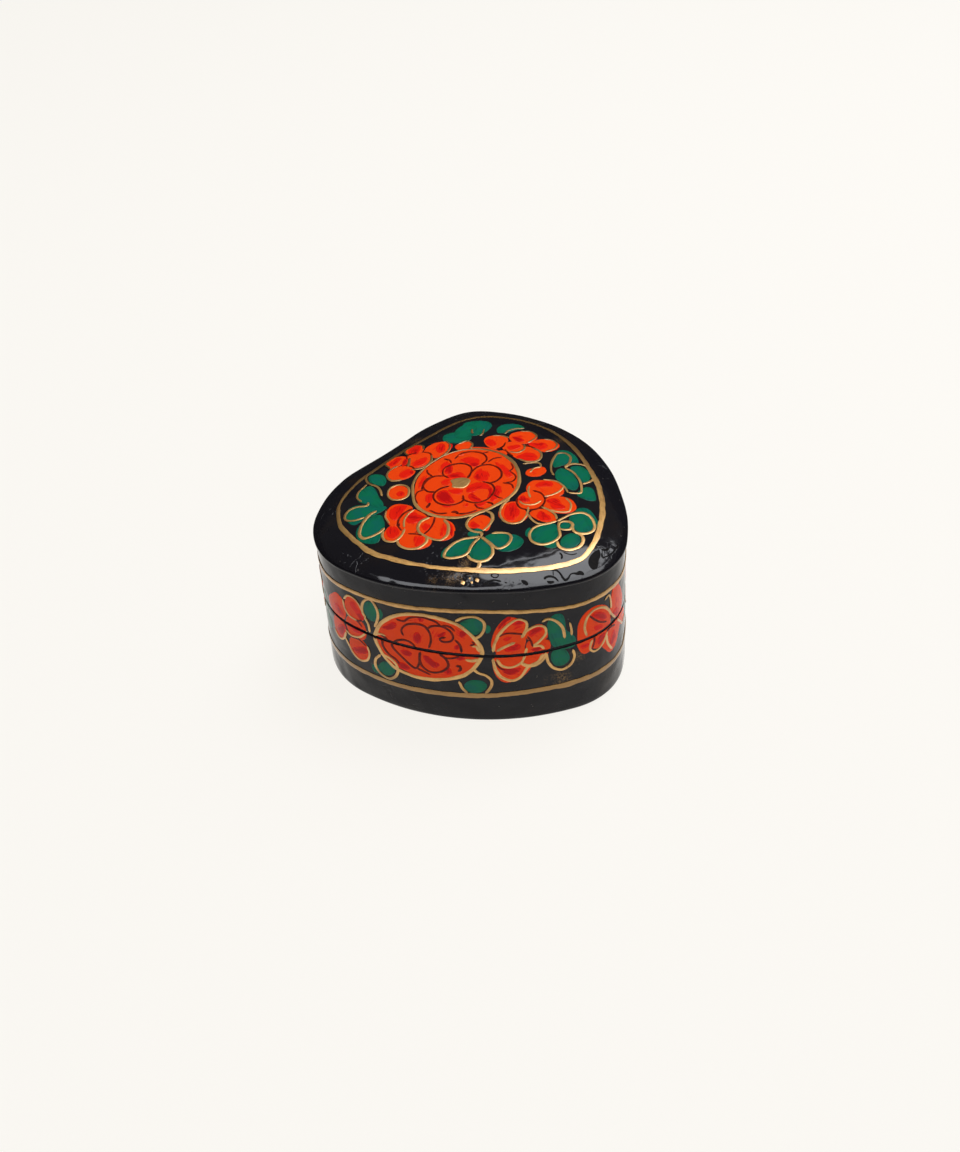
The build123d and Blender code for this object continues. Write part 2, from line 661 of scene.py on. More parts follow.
def moulded(name, rings, closed):
    # a hoop shaped to the first outline and extruded from outline to outline;
    # closed shells end in a point at both ends, strips are bridged back to the start
    piece = startPiece(name)
    numberHoop(piece)
    for step, ring in enumerate(rings):
        if step:
            bpy.ops.mesh.extrude_region_move()
        shapeSelected(piece, ring)
    if closed:
        bpy.ops.mesh.merge(type="CENTER")
        bpy.ops.mesh.select_all(action="DESELECT")
        bpy.ops.mesh.select_non_manifold()
        bpy.ops.mesh.merge(type="CENTER")
    else:
        bpy.ops.mesh.select_all(action="DESELECT")
        bpy.ops.mesh.select_non_manifold()
        bpy.ops.mesh.bridge_edge_loops()
    bpy.ops.mesh.select_all(action="SELECT")
    bpy.ops.mesh.normals_make_consistent(inside=False)
    bpy.ops.mesh.select_all(action="DESELECT")
    bpy.ops.object.mode_set(mode="OBJECT")
    piece.data.attributes.remove(piece.data.attributes["place"])
    selectOnly(piece)
    bpy.ops.object.shade_smooth_by_angle(angle=math.radians(40))
    return piece


def wallRing(inset, z, wavy=True, lumpy=False):
    return [wallPoint(run, inset, z, wavy, lumpy) for run in runs()]


def crownRing(inset, rise, start, level, painted):
    # one outline of the dome's painted top or of the hollow under it
    ring = []
    for run in runs():
        point, out = heartAt(run, inset)
        push, crownUp, _ = unevenAt(run)
        point = point + out * (push * outShare(inset, heights["crownEdge"]))
        fade = 1 - faded(inset / heights["domeInset"])
        height = level + domeHeight(inset, rise, start) + crownUp * fade**2
        if painted:
            height += lump(point.x, point.y)
        ring.append(Vector((point.x, point.y, height)) * mm)
    return ring


def shrunk(ring, share):
    # the same outline drawn smaller about the middle of the box
    centre = Vector((0, 1.0 * mm, 0))
    made = []
    for point in ring:
        flat = centre + (Vector((point.x, point.y, 0)) - centre) * share
        made.append(Vector((flat.x, flat.y, point.z)))
    return made


def topRings(ring, shares):
    made = []
    for share in shares:
        smaller = shrunk(ring, share)
        for point in smaller:
            point.z = crownHeight(point.x / mm, point.y / mm) * mm
        made.append(smaller)
    return made


def insetAt(point):
    return heartNear(point.x, point.y)[1]


def paintFaces(piece, finish, chosen):
    # another finish on some of the faces, chosen by their middle in millimetres and their normal
    piece.data.materials.append(finishes[finish])
    for face in piece.data.polygons:
        if chosen(face.center / mm, face.normal):
            face.material_index = len(piece.data.materials) - 1


def dress(piece, finish, body, slot, *nodes):
    piece.data.materials.clear()
    piece.data.materials.append(finishes[finish])
    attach(piece, body)
    if nodes:
        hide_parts(*nodes)


def patches(piece, name, spots, flat):
    # soft patches written on the vertices: a row is a place, a reach and a depth
    layer = piece.data.attributes.new(name, "FLOAT", "POINT")
    for vertex in piece.data.vertices:
        x, y = flat(vertex.co / mm)
        deep = 0
        for cx, cy, reach, depth in spots:
            deep = max(deep, depth * (1 - math.hypot(x - cx, y - cy) / reach))
        layer.data[vertex.index].value = min(1, 1.6 * deep)


farOff = (200, 200)


def onTop(point):
    # places on the crown; its wall and its hollow are sent far off
    return (point.x, point.y) if point.z > heights["crownEdge"] - 0.5 else farOff


def alongSide(point):
    run, inset = heartNear(point.x, point.y)
    return (run, point.z - unevenAt(run)[2]) if inset < 1 else farOff


# how far each outline is drawn in towards the middle, over a level face and over the crown
levelShares = [0.86, 0.7, 0.52, 0.34, 0.18, 0.06]
topShares = [0.95 - 0.05 * step for step in range(18)] + [0.03]

# base
base = {
    "footRadius": 1.0,
    "footInset": 1.6,
    "seamRadius": 0.5,
    "bore": 3.1,
    "collarBore": 4.6,
    "collarLip": 0.5,
    "blackInset": 1.9,
}


def makeFloor():
    foot = base["footRadius"]
    under = wallRing(overhang + base["footInset"], 0, False)
    rings = [shrunk(under, share) for share in reversed(levelShares)]
    rings.append(under)
    for angle in (0, 22, 45, 68, 90):
        turn = math.radians(angle)
        inset = overhang + foot * (1 - math.sin(turn))
        z = foot * (1 - math.cos(turn))
        rings.append(wallRing(inset, z, False, True))
    rings.append(wallRing(overhang, 1.8, False, True))
    rings.append(wallRing(overhang, heights["floor"], False, True))
    top = wallRing(overhang + 1.2, heights["floor"], False)
    rings.append(top)
    inner = wallRing(base["collarBore"], heights["floor"], False)
    rings.append(inner)
    rings += [shrunk(inner, share) for share in levelShares]
    return moulded("base_floor_shell", rings, True)


def roundedTop(inset, z, radius, inwards):
    # outlines of a rounded upper edge; inwards is 1 when the solid lies inside the outline
    steps = []
    for angle in (0, 30, 60, 90):
        turn = math.radians(angle)
        away = inset + inwards * radius * (1 - math.cos(turn))
        steps.append((away, z - radius * (1 - math.sin(turn))))
    return steps


def makeBaseSide():
    seam = heights["seam"]
    steps = [(overhang, z) for z in (heights["floor"], 5, 8, 11, 14, 17, 19.5)]
    steps += roundedTop(overhang, seam, base["seamRadius"], 1)
    steps += [(1.8, seam), (base["bore"] - 0.15, seam), (base["bore"], seam - 0.15)]
    steps += [(base["bore"], z) for z in (15, 8, heights["floor"])]
    rings = [wallRing(inset, z, True, inset < 1.0) for inset, z in steps]
    return moulded("base_side_shell", rings, False)


def makeCollar():
    top = heights["collarTop"]
    lip = base["collarLip"]
    outer, inner = base["bore"], base["collarBore"]
    steps = [(outer, z) for z in (heights["floor"], 10, 18, 21.5, 24)]
    steps += roundedTop(outer, top, lip, 1)
    steps += reversed(roundedTop(inner, top, lip, -1))
    steps += [(inner, z) for z in (24, 18, 10, heights["floor"])]
    rings = [wallRing(inset, z, False) for inset, z in steps]
    return moulded("base_collar_shell", rings, False)


floor = makeFloor()
dress(floor, "lacquer", "base", "lacquered_papier_mache", "base_floor")
paintFaces(floor, "inside", lambda c, n: c.z > heights["floor"] - 0.05)
baseSide = makeBaseSide()
dress(baseSide, "lacquer", "base", "lacquered_papier_mache", "base_side")
paintFaces(baseSide, "inside", lambda c, n: insetAt(c) > base["blackInset"])
collar = makeCollar()
dress(collar, "collar", "base", "collar_strip", "base_collar")
print("base moulded")

# lid
lid = {
    "bore": 2.8,
    "seamRadius": 0.5,
    "underRadius": 0.3,
    "edgeRadius": 0.7,
    "chamfer": 1.0,
    "chamferTilt": 38,
    "blackInset": 2.2,
    "hollowInset": 2.0,
}


def makeLidSide():
    seam, seat = heights["seam"], heights["crownSeat"]
    radius = lid["seamRadius"]
    steps = [(1.8, seam)]
    for angle in (90, 60, 30, 0):
        turn = math.radians(angle)
        inset = overhang + radius * (1 - math.cos(turn))
        steps.append((inset, seam + radius * (1 - math.sin(turn))))
    steps += [(overhang, z) for z in (23, 26, 29, 32, 35, 37, seat)]
    steps += [(1.6, seat), (lid["bore"], seat)]
    steps += [(lid["bore"], z) for z in (34, 28, seam + 0.2)]
    steps += [(lid["bore"] - 0.2, seam)]
    rings = [wallRing(inset, z, True, inset < 1.0) for inset, z in steps]
    return moulded("lid_side_shell", rings, False)


# where the varnish of the crown is wrinkled, and where brown is laid on the black: on the crown stray
# bronze powder with a painted brown reflection, on the sides a painted brown reflection; in millimetres:
# place, reach and depth
wrinkles = [
    (-26, -16, 1.6, 0.5), (-35, 8, 3, 0.35), (-36.2, 12.5, 2, 0.5), (30, -12, 3, 0.4), (20, 31, 4, 0.4),
    (-27, 27, 4, 0.4), (35, 12, 3, 0.4), (2.4, -33.6, 2.6, 0.35), (-22.6, -16.4, 1.2, 0.6),
]
crownDustAndReflection = [
    (-25.2, -14.6, 2.6, 0.9), (-27.6, -12.6, 2.4, 0.7), (-22.2, -12.6, 1.8, 0.9), (-30.4, -10.4, 2, 0.5),
    (8, 32, 3, 0.3), (30, 2, 2.5, 0.3),
]
# on the sides the brown is a painted reflection only
sidePaintedReflection = [
    (-13.4, 12, 3.2, 0.9), (-16, 10.2, 2, 0.7), (-9.6, 16.6, 2.4, 0.7), (-32, 12.6, 2, 0.4),
    (60, 12, 3, 0.5),
]


def makeCrown():
    seat, edge = heights["crownSeat"], heights["crownEdge"]
    radius, under = lid["edgeRadius"], lid["underRadius"]
    hollow = (heights["hollowRise"], lid["bore"], seat, False)
    deep = crownRing(heights["domeInset"], *hollow)
    rings = [shrunk(deep, share) for share in reversed(levelShares)]
    rings.append(deep)
    rings += [crownRing(inset, *hollow) for inset in (13, 11, 9, 7, 5.2, 3.8, lid["bore"])]
    rings.append(wallRing(1.6, seat))
    rings.append(wallRing(under, seat))
    for angle in (30, 60, 90):
        turn = math.radians(angle)
        inset = under * (1 - math.sin(turn))
        rings.append(wallRing(inset, seat + under * (1 - math.cos(turn)), True, True))
    # the upper edge turns over a small round and a narrow flat into the slope of the dome
    tilt, flat = math.radians(lid["chamferTilt"]), lid["chamfer"]
    turned = radius * (1 - math.sin(tilt))
    shoulder = edge + domeHeight(flat, heights["crownRise"])
    start = shoulder - (flat - turned) * math.tan(tilt) - radius * math.cos(tilt)
    for angle in (90, 77, 64, 51, lid["chamferTilt"]):
        turn = math.radians(angle)
        inset = radius * (1 - math.sin(turn))
        rings.append(wallRing(inset, start + radius * math.cos(turn), True, True))
    middle = (turned + flat) / 2
    rings.append(wallRing(middle, shoulder - (flat - middle) * math.tan(tilt), True, True))
    slope = (flat, 1.5, 2, 2.8, 3.6, 4.5, 5.5, 6.5, 7.5, 8.6, 9.8, 11, 12.4, 13.8, 15.2)
    rings += [crownRing(inset, heights["crownRise"], 0, edge, True) for inset in slope]
    rings += topRings(rings[-1], topShares)
    return moulded("lid_crown_shell", rings, True)


lidSide = makeLidSide()
dress(lidSide, "lacquer", "lid", "lacquered_papier_mache", "lid_side")
paintFaces(lidSide, "inside", lambda c, n: insetAt(c) > lid["blackInset"])
crown = makeCrown()
patches(crown, "wrinkle", wrinkles, onTop)
patches(crown, "dustAndPaintedReflection", crownDustAndReflection, onTop)
patches(lidSide, "dustAndPaintedReflection", sidePaintedReflection, alongSide)
patches(baseSide, "dustAndPaintedReflection", sidePaintedReflection, alongSide)
dress(crown, "crownLacquer", "lid", "lacquered_papier_mache", "lid_crown")
paintFaces(crown, "inside", lambda c, n: n.z < -0.2 and insetAt(c) > lid["hollowInset"])
paintFaces(crown, "lacquer", lambda c, n: abs(n.z) < 0.25)
print("lid moulded")

# painted ornament: dabs and strokes, drawn flat in millimetres and laid on the shells
paint = {
    "dabSteps": [1, 0.985, 0.95, 0.87, 0.76, 0.63, 0.5, 0.37, 0.24, 0.1, 0],
    # heights of a dab's first outlines, and the section of a stroke from edge to edge
    "dabRim": [-0.2, 0.55, 0.9],
    "strokeAcross": [-1, -0.66, 0, 0.66, 1],
    "strokeRise": [0, 0.72, 1, 0.72, 0],
    "dabSpacing": 0.75,
    "strokeSpacing": 0.5,
    "petalLift": 0.035,
    "leafLift": 0.03,
    "liftStep": 0.001,
    "goldEdge": 0.12,
    "goldCrest": 0.165,
    "runEdge": 0.01,
    "runCrest": 0.05,
    "runSpacing": 0.22,
    "veinEdge": 0.125,
    "veinCrest": 0.15,
    # a stroke's thin ends in widths, and how far its width and path wander, as shares of it
    "taper": 0.7,
    "swell": 0.25,
    "drift": 0.1,
    "skin": 0.12,
    "seamGap": 0.5,
}


def throughPoints(points, spacing, closed):
    # evenly spaced points on a smooth curve through the given ones; a third number goes along
    count = len(points)
    knots = [Vector((p[0], p[1], p[2] if len(p) > 2 else 1)) for p in points]
    fine = []
    for i in range(count if closed else count - 1):
        if closed:
            a, b, c, d = (knots[(i + k) % count] for k in (-1, 0, 1, 2))
        else:
            b, c = knots[i], knots[i + 1]
            a = knots[i - 1] if i else b * 2 - c
            d = knots[i + 2] if i + 2 < count else c * 2 - b
        gaps = [max((q - p).length, 1e-3) ** 0.5 for p, q in ((a, b), (b, c), (c, d))]
        slopeB = ((b - a) / gaps[0] - (c - a) / (gaps[0] + gaps[1]) + (c - b) / gaps[1]) * gaps[1]
        slopeC = ((c - b) / gaps[1] - (d - b) / (gaps[1] + gaps[2]) + (d - c) / gaps[2]) * gaps[1]
        for k in range(12):
            t = k / 12
            fine.append(
                b * (2 * t**3 - 3 * t**2 + 1) + slopeB * (t**3 - 2 * t**2 + t)
                + c * (3 * t**2 - 2 * t**3) + slopeC * (t**3 - t**2)
            )
    fine.append(knots[0].copy() if closed else knots[-1])
    lengths = [0.0]
    for p, q in zip(fine, fine[1:]):
        lengths.append(lengths[-1] + (q - p).to_2d().length)
    total = lengths[-1]
    steps = max(round(total / spacing), 6)
    made, at = [], 0
    for i in range(steps if closed else steps + 1):
        want = total * i / steps
        while at < len(fine) - 2 and lengths[at + 1] < want:
            at += 1
        gap = max(lengths[at + 1] - lengths[at], 1e-9)
        made.append(fine[at].lerp(fine[at + 1], (want - lengths[at]) / gap))
    return made, total


def startFlat(name, kind, **sizes):
    bpy.ops.object.select_all(action="DESELECT")
    kind(location=(0, 0, 0), **sizes)
    piece = bpy.context.object
    piece.name = name
    piece.data.name = name
    bpy.ops.object.mode_set(mode="EDIT")
    bpy.ops.mesh.select_all(action="SELECT")
    mesh = bmesh.from_edit_mesh(piece.data)
    mesh.verts.layers.int.new("place")
    mesh.verts.layers.int.new("dab")
    mesh.verts.layers.float.new("tone")
    mesh.verts.layers.float_vector.new("brush")
    bmesh.update_edit_mesh(piece.data)
    return piece


def numberNew(piece, dab):
    mesh = bmesh.from_edit_mesh(piece.data)
    place, owner = mesh.verts.layers.int["place"], mesh.verts.layers.int["dab"]
    new = [vertex for vertex in mesh.verts if vertex.select]
    for index, vertex in enumerate(new):
        vertex[place] = index
        vertex[owner] = dab
    bmesh.update_edit_mesh(piece.data)


def endFlat(piece):
    mesh = bmesh.from_edit_mesh(piece.data)
    if sum(face.normal.z * face.calc_area() for face in mesh.faces) < 0:
        bpy.ops.mesh.select_all(action="SELECT")
        bpy.ops.mesh.flip_normals()
    bpy.ops.mesh.select_all(action="DESELECT")
    bpy.ops.object.mode_set(mode="OBJECT")
    for name in ("place", "dab"):
        piece.data.attributes.remove(piece.data.attributes[name])
    return piece


def layDabs(name, dabs):
    # every dab is a hoop on its outline, drawn in step by step towards its deep point;
    # a dab is its lift, deep point, tone (or the tones of its rim and deep point) and outline
    shapes = []
    for lift, deep, tone, outline in dabs:
        edge = [p.to_2d() for p in throughPoints(outline, paint["dabSpacing"], True)[0]]
        if sum(p.cross(q) for p, q in zip(edge, edge[1:] + edge[:1])) < 0:
            edge.reverse()
        middle = sum(edge, Vector((0, 0))) / len(edge)
        far = max(edge, key=lambda p: (p - middle).length)
        axis = (far - middle).normalized()
        tones = tone if isinstance(tone, tuple) else (0, tone)
        shapes.append((edge, Vector(deep) if deep else middle, axis, lift, tones))
    piece = startFlat(name, bpy.ops.mesh.primitive_circle_add, vertices=len(shapes[0][0]), radius=mm)
    numberNew(piece, 0)
    for number, shape in enumerate(shapes[1:], 1):
        bpy.ops.mesh.primitive_circle_add(vertices=len(shape[0]), radius=mm, location=(0, 0, 0))
        numberNew(piece, number)
    bpy.ops.mesh.select_all(action="SELECT")
    for step, share in enumerate(paint["dabSteps"]):
        if step:
            bpy.ops.mesh.extrude_region_move()
        mesh = bmesh.from_edit_mesh(piece.data)
        place, owner = mesh.verts.layers.int["place"], mesh.verts.layers.int["dab"]
        toneLayer, brushLayer = mesh.verts.layers.float["tone"], mesh.verts.layers.float_vector["brush"]
        for vertex in mesh.verts:
            if not vertex.select:
                continue
            edge, deep, axis, lift, (rim, tone) = shapes[vertex[owner]]
            spot = deep.lerp(edge[vertex[place]], share)
            height = lift * paint["dabRim"][step] if step < len(paint["dabRim"]) else lift
            vertex.co = Vector((spot.x, spot.y, height)) * mm
            vertex[toneLayer] = rim + (tone - rim) * max(0, 1 - share * 1.15) ** 0.8
            arm = spot - deep
            vertex[brushLayer] = (arm.dot(axis), arm.cross(axis), vertex[owner] * 3.7)
        bmesh.update_edit_mesh(piece.data)
    bpy.ops.mesh.select_all(action="SELECT")
    bpy.ops.mesh.remove_doubles(threshold=1e-7)
    return endFlat(piece)


def layStrokes(name, strokes, edgeLift, crestLift, spacing=paint["strokeSpacing"]):
    # every stroke is a strip along its path, fuller in the middle and thin at its ends;
    # a stroke is its width and path, closed when it ends where it starts
    shapes = []
    for width, path in strokes:
        closed = path[0] == path[-1]
        around = abs(path[-1][0] - path[0][0]) > 1.9 * halfWay
        points, total = throughPoints(path[:-1] if closed else path, spacing, closed)
        if closed:
            points.append(points[0].copy())
        shapes.append((width, points, total, closed or around))
    piece = None
    lanes = len(paint["strokeAcross"]) - 1
    for number, shape in enumerate(shapes):
        sizes = {"x_subdivisions": len(shape[1]) - 1, "y_subdivisions": lanes, "size": mm}
        if piece is None:
            piece = startFlat(name, bpy.ops.mesh.primitive_grid_add, **sizes)
        else:
            bpy.ops.mesh.primitive_grid_add(location=(0, 0, 0), **sizes)
        numberNew(piece, number)
    mesh = bmesh.from_edit_mesh(piece.data)
    place, owner = mesh.verts.layers.int["place"], mesh.verts.layers.int["dab"]
    brushLayer = mesh.verts.layers.float_vector["brush"]
    for vertex in mesh.verts:
        number = vertex[owner]
        width, points, total, closed = shapes[number]
        count = len(points)
        at, across = vertex[place] % count, vertex[place] // count
        joined = closed and points[0] == points[-1]
        before = points[at - 1] if at else points[-2 if joined else 0]
        after = points[at + 1] if at < count - 1 else points[1 if joined else -1]
        way = (after - before).to_2d().normalized()
        done = total * at / (count - 1)
        turn = 2 * math.pi * at / (count - 1)
        if closed:
            where = Vector((math.cos(turn), math.sin(turn), 0.13)) * total * 0.05
            where.x += number
            end = 1
        else:
            where = Vector((done * 0.3, number * 5.3, 0.4))
            near = min(done, total - done) / (width * paint["taper"])
            end = math.sqrt(max(0.03, 1 - (1 - min(near, 1)) ** 2))
        full = width * points[at].z * end * (1 + paint["swell"] * noise.noise(where))
        reach, rise = paint["strokeAcross"][across], paint["strokeRise"][across]
        drift = paint["drift"] * width * noise.noise(where * 2 + Vector((0, 9, 0)))
        spot = points[at].to_2d() + Vector((-way.y, way.x)) * (reach * full / 2 + drift)
        height = edgeLift + (crestLift - edgeLift) * rise * (0.5 + 0.5 * end)
        vertex.co = Vector((spot.x, spot.y, height)) * mm
        vertex[brushLayer] = (done, reach * width, number * 3.7)
    bmesh.update_edit_mesh(piece.data)
    return endFlat(piece)


def thicken(piece):
    selectOnly(piece)
    bpy.ops.object.mode_set(mode="EDIT")
    bpy.ops.mesh.select_all(action="SELECT")
    bpy.ops.mesh.remove_doubles(threshold=1.5e-6)
    bpy.ops.mesh.select_all(action="DESELECT")
    bpy.ops.object.mode_set(mode="OBJECT")
    bpy.ops.object.modifier_add(type="SOLIDIFY")
    skin = piece.modifiers[-1]
    skin.thickness = paint["skin"] * mm
    skin.offset = -1
    skin.use_rim = True
    bpy.ops.object.modifier_apply(modifier=skin.name)
    bpy.ops.object.shade_smooth_by_angle(angle=math.radians(50))


def wrapOnCrown(piece):
    for vertex in piece.data.vertices:
        x, y, lift = vertex.co / mm
        vertex.co = onCrown(x, y, lift)
    thicken(piece)
    return piece


def wrapOnSide(piece):
    # places along the side are measured from a level seam, and the seam's wave is put back here
    for vertex in piece.data.vertices:
        run, z, lift = vertex.co / mm
        vertex.co = onSide(run, z + unevenAt(run)[2], lift)
    thicken(piece)
    return piece


def cutAtSeam(piece, name, upper):
    # a copy of the flat sheet with only the part above or below the seam
    selectOnly(piece)
    bpy.ops.object.duplicate()
    half = bpy.context.object
    half.name = name
    half.data.name = name
    bpy.ops.object.mode_set(mode="EDIT")
    bpy.ops.mesh.select_all(action="SELECT")
    gap = paint["seamGap"] if upper else -paint["seamGap"]
    bpy.ops.mesh.bisect(
        plane_co=(0, (heights["seam"] + gap) * mm, 0), plane_no=(0, 1, 0),
        clear_inner=upper, clear_outer=not upper,
    )
    bpy.ops.mesh.select_all(action="DESELECT")
    bpy.ops.object.mode_set(mode="OBJECT")
    return wrapOnSide(half)


def decorateSide(name, finish, slot, sheet):
    for upper in (True, False):
        body = "lid" if upper else "base"
        half = cutAtSeam(sheet, body + "_side_" + name, upper)
        dress(half, finish, body, slot)
    bpy.data.objects.remove(sheet)


def leafDabs(outlines):
    return [(None, 1, outline) for outline in outlines]


def patched(petals, overlaid):
    return petals + [(None, (tone * 0.7, tone + 0.1), outline) for tone, outline in overlaid]


def lifted(dabs, start):
    # later dabs lie a little higher, as wet paint over dry
    return [(start + paint["liftStep"] * i, *dab) for i, dab in enumerate(dabs)]


# crown: outlines of the leaves, and of one that is laid on thinly
crownLeaves = [
    [(-30.4, 14), (-28, 15.9), (-24, 16.2), (-21.4, 15.2), (-23, 12), (-25.3, 10), (-27.3, 9),
        (-29, 8.2), (-30.5, 9.7), (-31, 12)],
    [(-27.8, 17.3), (-27.6, 20), (-26, 22), (-24, 23), (-22, 22.2), (-20.4, 20.4), (-18.6, 17.7),
        (-18.2, 15.8), (-21, 15.7), (-24.5, 16.6)],
    [(-20.2, 20), (-20.7, 23), (-19, 25.4), (-16.5, 26), (-14.3, 25.6), (-14.6, 23.4), (-16.3, 20.5),
        (-17.8, 17.5), (-19.4, 16.4), (-20.4, 18)],
    [(-13.2, 25), (-12.8, 27.4), (-10.6, 29.2), (-9.2, 27.2), (-9.4, 25.2), (-10.8, 23.4), (-12.4, 22.8)],
    [(11, 24.5), (13, 26.4), (15.4, 25.5), (16.5, 23.4), (17, 21), (16, 19.6), (13.2, 20.4),
        (11.4, 22.4)],
    [(17, 23.4), (18.8, 25.4), (21, 26.2), (23.4, 24.5), (24.8, 22), (24, 19.7), (21.5, 18.8),
        (18.6, 19.2), (16.8, 20.6)],
    [(13.6, 23.6), (16.7, 25.6), (19.6, 25.8), (21.4, 24.6), (21.4, 22.2), (18.7, 20.4), (15.8, 20.6),
        (13.8, 21.8)],
    [(22, 16), (23.5, 17.6), (26, 17.7), (28.2, 16), (28.8, 13.6), (28, 12.2), (26, 13.4), (23.5, 14.3)],
    [(18.7, -5), (20.5, -3), (23, -1.6), (25.4, -1.1), (26.9, -2.8), (26.4, -5.6), (25, -7.6),
        (23.4, -8.3), (22.8, -6.8), (20.8, -6.2)],
    [(15.5, -8), (17.4, -6.5), (19.5, -6.4), (19.6, -9.4), (18.2, -12.4), (16.4, -14.4), (14.2, -15),
        (13.7, -13), (14.5, -10.4)],
    [(19.9, -9), (21.5, -8), (23.4, -9), (23.6, -11), (22.3, -13.4), (20, -14.7), (18.2, -14.6),
        (18.8, -12)],
    [(13, -16.6), (14.6, -15.8), (17.4, -16.1), (18, -17.2), (16.5, -19.4), (14.5, -21), (13.2, -20),
        (12.8, -18)],
    [(-24.3, -7.3), (-22.6, -6), (-19.5, -5.8), (-16.5, -6.6), (-14.6, -8.5), (-17, -9.8),
        (-19.6, -10.9), (-21.6, -10.3), (-23.2, -9)],
    [(-20.4, -12.5), (-18.8, -11), (-16.4, -10.4), (-13.9, -9.9), (-13.8, -12), (-14.6, -14.5),
        (-16.4, -16), (-19, -16.5), (-20.4, -14.8)],
    [(-14.6, -15.8), (-13.6, -18), (-11, -19), (-8.4, -18.2), (-7.7, -16), (-8.5, -14), (-11, -14.6)],
    [(-13.5, -11), (-12.4, -10.1), (-10.8, -10.6), (-9.2, -12), (-8.8, -14), (-9.8, -15.4), (-12, -15.9),
        (-14, -15.6)],
    [(-14.8, -6.8), (-13.8, -6), (-12.4, -6.4), (-10.8, -6.6), (-10.8, -8), (-12.4, -8.5), (-14.3, -8.2)],
    [(-6.8, -17.6), (-5.5, -16.2), (-3.6, -15.9), (-4.4, -17.6), (-6, -19)],
    [(-7.2, -20), (-6, -18), (-3.5, -17), (-1, -18), (1, -19.6), (-0.4, -21.6), (-2, -23.1),
        (-4.5, -23.5), (-6.6, -22.3)],
    [(-7, -22.6), (-5.2, -23.4), (-3.8, -24), (-5.4, -25.4), (-6.7, -24.6)],
    [(-4.7, -26.3), (-3.7, -25), (-1.7, -24.3), (0.5, -24.8), (1, -26.5), (0, -28), (-2, -28.5),
        (-4, -27.8)],
    [(7, -20.6), (9.4, -20.3), (10.4, -22), (9.3, -25), (7.4, -27.4), (5.4, -27.5), (7.5, -24)],
    [(2, -25), (3.2, -22.6), (5, -20.7), (7, -21), (8.1, -23), (7, -25.6), (5, -27.4), (3.1, -27.4),
        (2, -26.3)],
]
thinLeaf = [(0.3, -22), (1.1, -21), (2.4, -20.9), (3.2, -22), (2.8, -23.2), (1.2, -23.4)]
